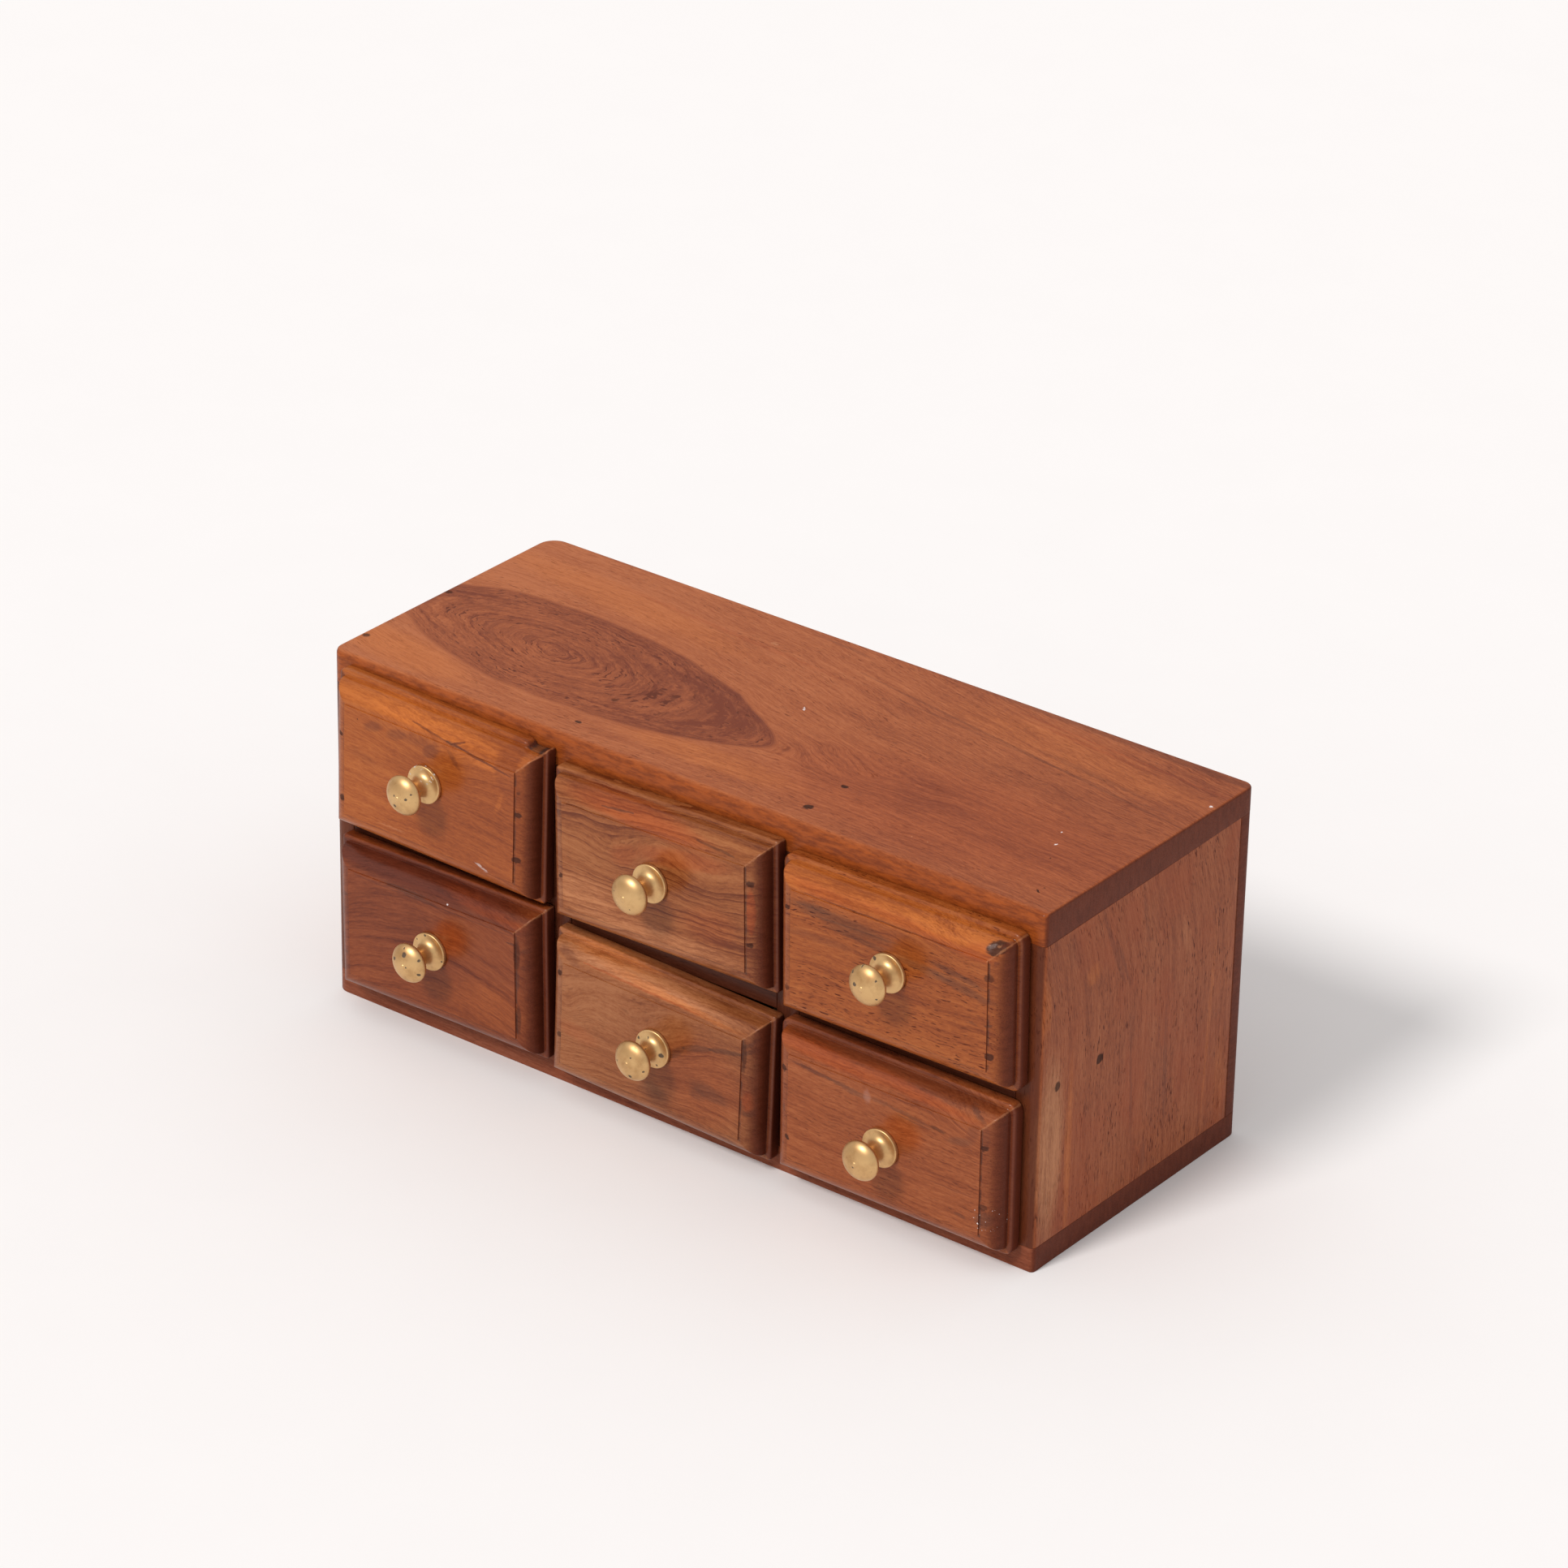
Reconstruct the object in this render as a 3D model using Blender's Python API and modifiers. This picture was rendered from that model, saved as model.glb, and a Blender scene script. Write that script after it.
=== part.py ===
"""Miniature chest of six drawers: a nailed hardwood carcase and six lipped, knobbed drawers.

Frame: metres, +Z up, -Y is the front, +X is the right-hand side seen from the front.
The origin is the centre of the carcase's underside.
Gaps of GAP are kept between neighbouring solids.
"""
from math import cos, pi, radians, sin

import bmesh
import bpy
from mathutils import Matrix, Vector

MM = 0.001
GAP = 0.3 * MM

# Carcase
WIDTH = 300.0 * MM
DEPTH = 118.0 * MM
HEIGHT = 132.0 * MM
TOP_T = 9.3 * MM
BOTTOM_T = 9.0 * MM
SIDE_T = 9.5 * MM
DIVIDER_T = 9.3 * MM
SHELF_T = 9.3 * MM
BACK_T = 7.6 * MM
SHELF_Z = 65.4 * MM                       # mid-height of the shelf between the two rows
CORNER_R = {(-1, -1): 5.0 * MM, (1, -1): 1.8 * MM, (-1, 1): 7.0 * MM, (1, 1): 4.0 * MM}
CORNER_SEGMENTS = 4
EDGE_SOFTENING = 0.5 * MM

FRONT_Y = -DEPTH / 2
BACK_Y = DEPTH / 2
BACK_FACE_Y = BACK_Y - BACK_T             # inner face of the back panel
UNDER_TOP_Z = HEIGHT - TOP_T
COLUMNS = 3
BAY_W = (WIDTH - 2 * SIDE_T - (COLUMNS - 1) * DIVIDER_T) / COLUMNS

# Nails: a plain shank, punched just below the surface
NAIL_R = 0.8 * MM
NAIL_SIDES = 8
NAIL_PUNCH = 0.3 * MM
NAIL_LENGTH = 24.0 * MM
TOP_NAIL_Y = (12.3 * MM, 32.3 * MM)       # distances from the front face
SIDE_NAIL_Y = (10.1 * MM, 33.8 * MM)

# Drawer box
BOX_W = 85.0 * MM
BOX_H = 46.5 * MM
BOX_SIDE_T = 4.8 * MM
BOX_BACK_T = 4.8 * MM
BOX_BOTTOM_T = 2.6 * MM
BOX_BACK_Y = BACK_FACE_Y - 3.0 * MM       # rear end of the box when it is shut
GROOVE_DEPTH = 2.0 * MM
GROOVE_Z = 3.2 * MM                       # underside of the bottom panel above the box's lower edge
CORE_DEPTH = 4.5 * MM                     # how far the front board reaches into its bay

# Drawer front: lip, fillet, quarter-round and field, as insets and heights over the carcase face
LIP_PROUD = 4.5 * MM
LIP_FILLET = 2.0 * MM
OVOLO_W = 6.5 * MM
OVOLO_H = 7.0 * MM
OVOLO_STEPS = 4
FIELD_STEP = 0.4 * MM
FIELD_PROUD = LIP_PROUD + OVOLO_H + FIELD_STEP
LIP_CORNER_R = 2.2 * MM
LIP_CORNER_SEGMENTS = 2

# Drawers: column, row (0 is the lower one), centre of the front over the bay's middle (x, z),
# front width and height, lean of the hand-cut front in degrees, and knob place from the front's centre
DRAWERS = (
    (0, 1, (0.2, 2.6), (91.4, 57.8), -1.6, (-0.9, 3.4)),
    (1, 1, (0.4, -0.2), (93.6, 55.8), 1.4, (-0.4, 1.6)),
    (2, 1, (0.4, -1.2), (95.7, 57.0), 1.0, (0.5, 3.4)),
    (0, 0, (0.9, 3.2), (90.4, 55.0), -0.2, (0.0, 0.7)),
    (1, 0, (-0.1, -1.0), (93.1, 55.2), -1.5, (2.0, 2.2)),
    (2, 0, (0.2, -0.7), (94.9, 56.2), 0.3, (-0.3, -0.9)),
)

# Knob, as radius and distance in front of the field; its screw comes from inside the drawer
KNOB_SECTION = (
    (0.0, 15.3), (0.9, 15.2), (1.1, 14.9), (3.6, 14.4), (5.6, 13.4), (6.8, 12.2), (7.2, 11.0),
    (6.7, 10.2), (5.0, 9.3), (3.5, 7.9), (3.0, 6.3), (3.4, 4.4), (4.4, 2.9), (4.9, 1.9),
    (6.9, 1.7), (7.2, 1.4), (7.2, 0.3), (1.6, 0.3), (1.6, 8.6), (0.0, 8.6),
)
KNOB_STEPS = 16
SCREW_R = 1.3 * MM
SCREW_HEAD_R = 2.9 * MM
SCREW_HEAD_H = 1.6 * MM
SCREW_REACH = 8.0 * MM                    # how far the screw goes into the knob
SCREW_STEPS = 12

WOODS = {
    "top_wood": (0.33, 0.125, 0.055),
    "case_wood": (0.25, 0.085, 0.040),
    "inner_wood": (0.22, 0.090, 0.045),
    "front_wood": (0.34, 0.115, 0.040),
    "box_wood": (0.40, 0.200, 0.095),
}
METALS = {
    "brass": (0.62, 0.42, 0.17),
    "steel": (0.20, 0.19, 0.18),
}


def clear_scene():
    for obj in list(bpy.data.objects):
        bpy.data.objects.remove(obj, do_unlink=True)


def make_collection(name):
    collection = bpy.data.collections.new(name)
    bpy.context.scene.collection.children.link(collection)
    return collection


def make_material(name, colour, roughness, metallic):
    material = bpy.data.materials.new(name)
    material.use_nodes = True
    shader = material.node_tree.nodes["Principled BSDF"]
    shader.inputs["Base Color"].default_value = (*colour, 1.0)
    shader.inputs["Roughness"].default_value = roughness
    shader.inputs["Metallic"].default_value = metallic
    return material


def add_object(name, mesh, collection, material=None, parent=None):
    obj = bpy.data.objects.new(name, mesh)
    collection.objects.link(obj)
    if material is not None:
        mesh.materials.append(material)
    if parent is not None:
        obj.parent = parent
    return obj


def mesh_from(bm, name):
    bmesh.ops.recalc_face_normals(bm, faces=bm.faces)
    mesh = bpy.data.meshes.new(name)
    bm.to_mesh(mesh)
    bm.free()
    return mesh


def box_bmesh(low, high):
    """A box between two corners, as a bmesh about its own centre, and that centre."""
    low, high = Vector(low), Vector(high)
    bm = bmesh.new()
    bmesh.ops.create_cube(bm, size=1.0)
    bmesh.ops.scale(bm, vec=high - low, verts=bm.verts)
    return bm, (low + high) / 2


def round_upright_edges(bm, radii):
    """Round the upright edges at the named corners of a centred box."""
    for (side_x, side_y), radius in radii.items():
        edges = [
            edge for edge in bm.edges
            if all(v.co.x * side_x > 0 and v.co.y * side_y > 0 for v in edge.verts)
            and abs(edge.verts[0].co.z - edge.verts[1].co.z) > radius
        ]
        bmesh.ops.bevel(
            bm, geom=edges, offset=radius, segments=CORNER_SEGMENTS, profile=0.5, affect="EDGES"
        )


def board(name, low, high, collection, material, rounds=None):
    """A sawn board between two corners, with softened edges."""
    bm, centre = box_bmesh(low, high)
    round_upright_edges(bm, rounds or {})
    obj = add_object(name, mesh_from(bm, name), collection, material)
    obj.location = centre
    soften = obj.modifiers.new("softened_edges", "BEVEL")
    soften.width = EDGE_SOFTENING
    soften.segments = 1
    soften.limit_method = "ANGLE"
    soften.angle_limit = radians(60)
    return obj


def cut(obj, cutter, operation="DIFFERENCE"):
    modifier = obj.modifiers.new(cutter.name, "BOOLEAN")
    modifier.operation = operation
    modifier.solver = "EXACT"
    modifier.object = cutter


def rod(name, start, end, radius, sides):
    """A straight round rod between two points, as a mesh."""
    start, end = Vector(start), Vector(end)
    turn = (end - start).to_track_quat("Z", "Y").to_matrix().to_4x4()
    bm = bmesh.new()
    bmesh.ops.create_cone(
        bm, cap_ends=True, segments=sides, radius1=radius, radius2=radius,
        depth=(end - start).length, matrix=Matrix.Translation((start + end) / 2) @ turn,
    )
    return mesh_from(bm, name)


def make_cutter(name, mesh, collection, parent=None):
    obj = add_object(name, mesh, collection, parent=parent)
    obj.hide_render = True
    obj.display_type = "WIRE"
    return obj


def turned(name, section, steps, collection, material, parent):
    """A turned piece from (radius, height) points that run down its outer side."""
    bm = bmesh.new()
    points = [bm.verts.new((radius * MM, 0.0, height * MM)) for radius, height in section]
    for upper, lower in zip(points, points[1:]):
        bm.edges.new((upper, lower))
    mesh = bpy.data.meshes.new(name)
    bm.to_mesh(mesh)
    bm.free()
    obj = add_object(name, mesh, collection, material, parent)
    screw = obj.modifiers.new("turning", "SCREW")
    screw.axis = "Z"
    screw.angle = 2 * pi
    screw.steps = steps
    screw.render_steps = steps
    screw.use_merge_vertices = True
    screw.merge_threshold = 0.00001
    screw.use_smooth_shade = True
    return obj


# ---------------------------------------------------------------- carcase

def bay_centre_x(column):
    return -WIDTH / 2 + SIDE_T + BAY_W / 2 + column * (BAY_W + DIVIDER_T)


def divider_centres():
    return [bay_centre_x(i) + (BAY_W + DIVIDER_T) / 2 for i in range(COLUMNS - 1)]


def add_nail(name, head, way, boards, parts, cutters, material):
    """A nail from its head along a direction, and its hole through the boards that it joins."""
    head, way = Vector(head), Vector(way)
    top, point = head + way * NAIL_PUNCH, head + way * NAIL_LENGTH
    add_object(name, rod(name, top, point, NAIL_R, NAIL_SIDES), parts, material)
    hole = rod(name + "_hole", head - way * MM, point + way * GAP, NAIL_R + GAP, NAIL_SIDES)
    hole = make_cutter(name + "_hole", hole, cutters)
    for obj in boards:
        cut(obj, hole)


def nail_carcase(boards, parts, cutters, material):
    """Nails from above into both dividers, and from each side into the shelf."""
    for side, x in zip(("left", "right"), divider_centres()):
        for place, distance in zip(("front", "rear"), TOP_NAIL_Y):
            add_nail(f"top_nail_{side}_{place}", (x, FRONT_Y + distance, HEIGHT), (0, 0, -1),
                     (boards["top_board"], boards[side + "_divider"]), parts, cutters, material)
    for side, sign in (("left", -1), ("right", 1)):
        for place, distance in zip(("front", "rear"), SIDE_NAIL_Y):
            add_nail(f"side_nail_{side}_{place}", (sign * WIDTH / 2, FRONT_Y + distance, SHELF_Z),
                     (-sign, 0, 0), (boards[side + "_side"], boards[side + "_shelf"]),
                     parts, cutters, material)


def build_carcase(parts, cutters, materials):
    half_w = WIDTH / 2
    low = BOTTOM_T + GAP
    high = UNDER_TOP_Z - GAP
    rear = BACK_FACE_Y - GAP
    shelf_low, shelf_high = SHELF_Z - SHELF_T / 2, SHELF_Z + SHELF_T / 2
    top_wood, case_wood, inner_wood = (materials[key] for key in ("top_wood", "case_wood", "inner_wood"))
    plan = {
        "top_board": ((-half_w, FRONT_Y, UNDER_TOP_Z), (half_w, BACK_Y, HEIGHT), top_wood, CORNER_R),
        "bottom_board": ((-half_w, FRONT_Y, 0.0), (half_w, BACK_Y, BOTTOM_T), case_wood, CORNER_R),
        "left_side": ((-half_w, FRONT_Y, low), (SIDE_T - half_w, rear, high), case_wood,
                      {(-1, -1): CORNER_R[-1, -1]}),
        "right_side": ((half_w - SIDE_T, FRONT_Y, low), (half_w, rear, high), case_wood,
                       {(1, -1): CORNER_R[1, -1]}),
        "back_panel": ((-half_w, BACK_FACE_Y, low), (half_w, BACK_Y, high), case_wood,
                       {(-1, 1): CORNER_R[-1, 1], (1, 1): CORNER_R[1, 1]}),
    }
    for side, x in zip(("left", "right"), divider_centres()):
        half = DIVIDER_T / 2
        plan[side + "_divider"] = ((x - half, FRONT_Y, low), (x + half, rear, high), inner_wood, None)
    for column, side in enumerate(("left", "middle", "right")):
        x, half = bay_centre_x(column), BAY_W / 2 - GAP
        plan[side + "_shelf"] = (
            (x - half, FRONT_Y, shelf_low), (x + half, rear, shelf_high), inner_wood, None)
    boards = {
        name: board(name, start, end, parts, wood, rounds)
        for name, (start, end, wood, rounds) in plan.items()
    }
    nail_carcase(boards, parts, cutters, materials["steel"])


# ---------------------------------------------------------------- drawers

def front_profile():
    """Inset and height of the front board's moulding, from the lip's back edge to the field."""
    profile = [(0.0, GAP), (0.0, LIP_PROUD - 0.5 * MM), (0.5 * MM, LIP_PROUD), (LIP_FILLET, LIP_PROUD)]
    for step in range(OVOLO_STEPS + 1):
        angle = step / OVOLO_STEPS * pi / 2
        profile.append((
            LIP_FILLET + 0.1 * MM + OVOLO_W * (1 - cos(angle)),
            LIP_PROUD + 0.3 * MM + (OVOLO_H - 0.3 * MM) * sin(angle),
        ))
    profile.append((LIP_FILLET + OVOLO_W + FIELD_STEP, FIELD_PROUD))
    return profile


def rounded_ring(width, height, radius):
    """Outline of a rectangle with round corners, as (x, z) points about its centre."""
    points = []
    for quarter, (side_x, side_z) in enumerate(((1, 1), (-1, 1), (-1, -1), (1, -1))):
        for step in range(LIP_CORNER_SEGMENTS + 1):
            angle = (quarter + step / LIP_CORNER_SEGMENTS) * pi / 2
            points.append((
                side_x * (width / 2 - radius) + radius * cos(angle),
                side_z * (height / 2 - radius) + radius * sin(angle),
            ))
    return points


def moulded_plate(width, height, lean):
    """The lipped, moulded board about its own centre, leaning by an angle about the Y axis."""
    bm = bmesh.new()
    rings = []
    for inset, proud in front_profile():
        radius = max(LIP_CORNER_R - inset, 0.4 * MM)
        outline = rounded_ring(width - 2 * inset, height - 2 * inset, radius)
        rings.append([
            bm.verts.new((x * cos(lean) - z * sin(lean), -proud, x * sin(lean) + z * cos(lean)))
            for x, z in outline
        ])
    count = len(rings[0])
    for outer, inner in zip(rings, rings[1:]):
        for i in range(count):
            j = (i + 1) % count
            bm.faces.new((outer[i], outer[j], inner[j], inner[i]))
    bm.faces.new(rings[0])
    bm.faces.new(rings[-1])
    return bm


def build_front(name, frame, plate, knob_at, parts, cutters, materials):
    centre, size, lean = plate
    bm = moulded_plate(size[0], size[1], lean)
    front = add_object(name + "_front", mesh_from(bm, name + "_front"), parts,
                       materials["front_wood"], frame)
    front.location = (centre[0], 0.0, centre[1])

    half = BOX_W / 2
    bm, middle = box_bmesh((-half, -2 * MM, 0.0), (half, CORE_DEPTH, BOX_H))
    core = make_cutter(name + "_core", mesh_from(bm, name + "_core"), cutters, frame)
    core.location = middle
    cut(front, core, "UNION")

    groove_top = GROOVE_Z + BOX_BOTTOM_T + GAP
    bm, middle = box_bmesh((-half + BOX_SIDE_T - GROOVE_DEPTH, CORE_DEPTH - GROOVE_DEPTH, GROOVE_Z - GAP),
                           (half - BOX_SIDE_T + GROOVE_DEPTH, CORE_DEPTH + GROOVE_DEPTH, groove_top))
    groove = make_cutter(name + "_groove", mesh_from(bm, name + "_groove"), cutters, frame)
    groove.location = middle
    cut(front, groove)

    hole = rod(name + "_screw_hole", (knob_at[0], -FIELD_PROUD - MM, knob_at[1]),
               (knob_at[0], CORE_DEPTH + MM, knob_at[1]), SCREW_R + GAP, SCREW_STEPS)
    cut(front, make_cutter(name + "_screw_hole", hole, cutters, frame))


def build_box(name, frame, parts, materials):
    """Two sides, a back and a bottom panel that slides in grooves and runs under the back."""
    half = BOX_W / 2
    box_back = BOX_BACK_Y - FRONT_Y
    side_front = CORE_DEPTH + GAP
    wood = materials["box_wood"]
    outline = (
        (0.0, 0.0), (BOX_SIDE_T, 0.0), (BOX_SIDE_T, GROOVE_Z - GAP),
        (BOX_SIDE_T - GROOVE_DEPTH, GROOVE_Z - GAP),
        (BOX_SIDE_T - GROOVE_DEPTH, GROOVE_Z + BOX_BOTTOM_T + GAP),
        (BOX_SIDE_T, GROOVE_Z + BOX_BOTTOM_T + GAP), (BOX_SIDE_T, BOX_H), (0.0, BOX_H),
    )
    for label, side in (("left", -1), ("right", 1)):
        bm = bmesh.new()
        verts = [bm.verts.new((side * (half - x), side_front, z)) for x, z in outline]
        face = bm.faces.new(verts)
        grown = bmesh.ops.extrude_face_region(bm, geom=[face])["geom"]
        moved = [item for item in grown if isinstance(item, bmesh.types.BMVert)]
        bmesh.ops.translate(bm, vec=(0.0, box_back - side_front, 0.0), verts=moved)
        label = f"{name}_{label}_side"
        add_object(label, mesh_from(bm, label), parts, wood, frame)
    inner = half - BOX_SIDE_T
    back_low = GROOVE_Z + BOX_BOTTOM_T + GAP
    back = board(
        name + "_back", (GAP - inner, box_back - BOX_BACK_T, back_low), (inner - GAP, box_back, BOX_H),
        parts, wood)
    tray = inner + GROOVE_DEPTH - GAP
    bottom = board(
        name + "_bottom", (-tray, CORE_DEPTH - GROOVE_DEPTH + GAP, GROOVE_Z),
        (tray, box_back, GROOVE_Z + BOX_BOTTOM_T), parts, wood)
    for obj in (back, bottom):
        obj.parent = frame


def build_knob(name, frame, knob_at, parts, materials):
    """The turned knob and the screw that holds it from inside the drawer, both on one axis."""
    face_forward = (radians(90), 0.0, 0.0)
    knob = turned(name + "_knob", KNOB_SECTION, KNOB_STEPS, parts, materials["brass"], frame)
    knob.location = (knob_at[0], -FIELD_PROUD, knob_at[1])
    knob.rotation_euler = face_forward
    inside = -(FIELD_PROUD + CORE_DEPTH + GAP) / MM
    shank = SCREW_R / MM
    head = SCREW_HEAD_R / MM
    section = (
        (0.0, SCREW_REACH / MM), (shank, SCREW_REACH / MM - 0.4), (shank, inside),
        (head, inside), (head, inside - SCREW_HEAD_H / MM * 0.6), (head * 0.7, inside - SCREW_HEAD_H / MM),
        (0.0, inside - SCREW_HEAD_H / MM),
    )
    screw = turned(name + "_knob_screw", section, SCREW_STEPS, parts, materials["steel"], frame)
    screw.location = knob.location
    screw.rotation_euler = face_forward


def build_drawer(number, values, parts, cutters, materials):
    column, row, shift, size, lean, knob = values
    name = f"drawer_{number}"
    floor_z = (SHELF_Z + SHELF_T / 2 if row else BOTTOM_T) + GAP
    bay_low, bay_high = (SHELF_Z + SHELF_T / 2, UNDER_TOP_Z) if row else (BOTTOM_T, SHELF_Z - SHELF_T / 2)
    frame = bpy.data.objects.new(name, None)
    parts.objects.link(frame)
    frame.location = (bay_centre_x(column), FRONT_Y, floor_z)

    centre = (shift[0] * MM, (bay_low + bay_high) / 2 - floor_z + shift[1] * MM)
    knob_at = (centre[0] + knob[0] * MM, centre[1] + knob[1] * MM)
    plate = (centre, (size[0] * MM, size[1] * MM), radians(lean))
    build_front(name, frame, plate, knob_at, parts, cutters, materials)
    build_box(name, frame, parts, materials)
    build_knob(name, frame, knob_at, parts, materials)


def main():
    clear_scene()
    parts = make_collection("miniature_chest_of_drawers")
    cutters = make_collection("cutters")
    materials = {name: make_material(name, colour, 0.4, 0.0) for name, colour in WOODS.items()}
    for name, colour in METALS.items():
        materials[name] = make_material(name, colour, 0.3, 1.0)
    build_carcase(parts, cutters, materials)
    for number, values in enumerate(DRAWERS, start=1):
        build_drawer(number, values, parts, cutters, materials)


main()
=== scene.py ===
"""Miniature chest of six drawers: varnished hardwood, nailed carcase, turned brass knobs.

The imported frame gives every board, drawer and knob its place and size. This file gives them their
finished shapes, wood, brass and light. Sizes in the settings are in metres. Inside the materials,
places and sizes are in millimetres.
"""
from collections import namedtuple
from functools import partial
from math import atan2, cos, pi, radians, sin, sqrt

import bmesh
import bpy
import numpy as np
from bpy.props import FloatProperty, FloatVectorProperty, IntProperty, PointerProperty
from mathutils import Matrix, Vector, noise


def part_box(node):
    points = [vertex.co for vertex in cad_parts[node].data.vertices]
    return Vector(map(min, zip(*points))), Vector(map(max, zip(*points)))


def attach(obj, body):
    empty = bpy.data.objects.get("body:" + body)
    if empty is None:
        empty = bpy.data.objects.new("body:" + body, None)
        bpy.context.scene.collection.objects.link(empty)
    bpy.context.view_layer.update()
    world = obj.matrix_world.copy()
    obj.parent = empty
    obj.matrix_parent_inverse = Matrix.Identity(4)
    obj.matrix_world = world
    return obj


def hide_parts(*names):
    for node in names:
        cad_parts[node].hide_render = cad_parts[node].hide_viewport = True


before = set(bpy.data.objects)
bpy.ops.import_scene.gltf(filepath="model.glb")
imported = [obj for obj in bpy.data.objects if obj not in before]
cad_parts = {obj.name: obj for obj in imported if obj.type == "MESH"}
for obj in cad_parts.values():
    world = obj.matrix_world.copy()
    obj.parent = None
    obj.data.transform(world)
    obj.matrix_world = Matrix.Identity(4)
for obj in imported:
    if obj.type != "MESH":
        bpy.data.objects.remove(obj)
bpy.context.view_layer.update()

bl_info = {
    "name": "Miniature chest of drawers",
    "version": (1, 0, 0),
    "blender": (4, 5, 0),
    "location": "3D View > Sidebar > Chest",
    "description": "Finishes the boards, drawers and knobs of a miniature chest and sets its stage",
    "category": "Object",
}

MM = 0.001
FRONT_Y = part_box("top_board")[0].y
DRAWERS = range(1, 7)
FLOOR_REACH = 6.0                         # half the width of the floor, in metres
SENSOR_WIDTH = 36.0                       # of the camera, in mm


def srgb(red, green, blue):
    """A colour from its 0-255 display values, as linear red, green and blue."""
    def linear(value):
        value /= 255
        return value / 12.92 if value <= 0.04045 else ((value + 0.055) / 1.055) ** 2.4
    return linear(red), linear(green), linear(blue)


# ---------------------------------------------------------------- settings

def length(name, description, default):
    return FloatProperty(
        name=name, description=description, default=default, min=0.0, unit="LENGTH", precision=5)


def colour(name, description, default):
    return FloatVectorProperty(
        name=name, description=description, default=default, min=0.0, max=1.0, size=3, subtype="COLOR")


class ChestShapes(bpy.types.PropertyGroup):
    """Sizes of the hand-worked edges and corners."""
    top_front_round: length("Top, front edge", "Rounding of the top board's front edge", 2.4 * MM)
    top_edge_round: length("Top, other edges", "Rounding of the top board's ends and back", 0.9 * MM)
    board_edge_round: length("Board edges", "Rounding of the other boards' edges", 0.3 * MM)
    joint_edge_round: length("Joint edges", "Rounding where a board meets the next", 0.12 * MM)
    joint_drop: length("Top joint drop", "How much lower the top board's joint is at the front", 2.4 * MM)
    corner_front_left: length("Front left corner", "Upright corner of the carcase", 5.0 * MM)
    corner_front_right: length("Front right corner", "Upright corner of the carcase", 1.8 * MM)
    corner_back_left: length("Back left corner", "Upright corner of the carcase", 7.0 * MM)
    corner_back_right: length("Back right corner", "Upright corner of the carcase", 4.0 * MM)
    joint_take_up: length("Joint take-up", "How far each board is grown to close its joints", 0.22 * MM)
    lip_proud: length("Lip height", "Height of the drawer lip over the carcase face", 4.5 * MM)
    lip_round: length("Lip rounding", "Rounding of the lip's front edge", 0.8 * MM)
    fillet_width: length("Fillet width", "Flat between the lip's edge and the quarter-round", 2.0 * MM)
    ovolo_width: length("Quarter-round width", "Width of the quarter-round moulding", 6.1 * MM)
    border_step: length("Border step", "Height of the field over the quarter-round", 0.4 * MM)
    knob_steps: IntProperty(name="Knob segments", description="Segments round a knob", default=72, min=12)


class ChestColours(bpy.types.PropertyGroup):
    """Colours of the woods, their marks and the metals; some also paint shade, shadow, highlights and
    reflections.
    """
    top: colour("Top board", "Body colour of the figured top", srgb(157, 82, 42))
    side: colour("Sides", "Body colour of the case sides", srgb(140, 71, 36))
    case: colour("Bottom and back", "Body colour of the other outer boards", srgb(122, 62, 38))
    # inner is darker than the dividers' wood: it also paints the shade in the gaps between the drawers.
    inner: colour("Dividers and shelf", "Body colour of the boards between the drawers", srgb(76, 35, 20))
    box: colour("Drawer boxes", "Body colour of the drawers' sides, backs and bottoms", srgb(176, 122, 82))
    drawer_1: colour("Drawer 1", "Body colour of the front", srgb(148, 74, 27))
    drawer_2: colour("Drawer 2", "Body colour of the front", srgb(138, 77, 39))
    drawer_3: colour("Drawer 3", "Body colour of the front", srgb(143, 72, 28))
    drawer_4: colour("Drawer 4", "Body colour of the front", srgb(120, 55, 23))
    drawer_5: colour("Drawer 5", "Body colour of the front", srgb(136, 78, 43))
    drawer_6: colour("Drawer 6", "Body colour of the front", srgb(138, 70, 34))
    end_grain: colour("End grain", "Colour of the boards' sawn ends", srgb(94, 46, 32))
    # filler also paints the shadow in drawer 1's chip and, in part, the shade in drawer 3's knot hole.
    filler: colour("Nail filler", "Stopping over the nails and brads", srgb(50, 34, 30))
    stain: colour("Dark stain", "Dark streaks and stains", srgb(84, 36, 22))
    ember: colour("Red streak", "Red-orange streaks", srgb(146, 62, 22))
    honey: colour("Honey", "Yellow-orange patches", srgb(180, 98, 38))
    # pale also paints the highlight along the fronts' top right mitres.
    pale: colour("Worn wood", "Rubbed edges and pale streaks", srgb(190, 126, 84))
    dust: colour("Dust", "White specks and scratches", srgb(232, 224, 222))
    brass: colour("Brass", "Satin brass of the knobs", srgb(216, 177, 124))
    # tarnish also paints the dark reflection high on each knob's head.
    tarnish: colour("Tarnish", "Brown film on the brass", srgb(150, 104, 62))
    steel: colour("Steel", "Nails and screws", srgb(120, 116, 110))


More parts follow.
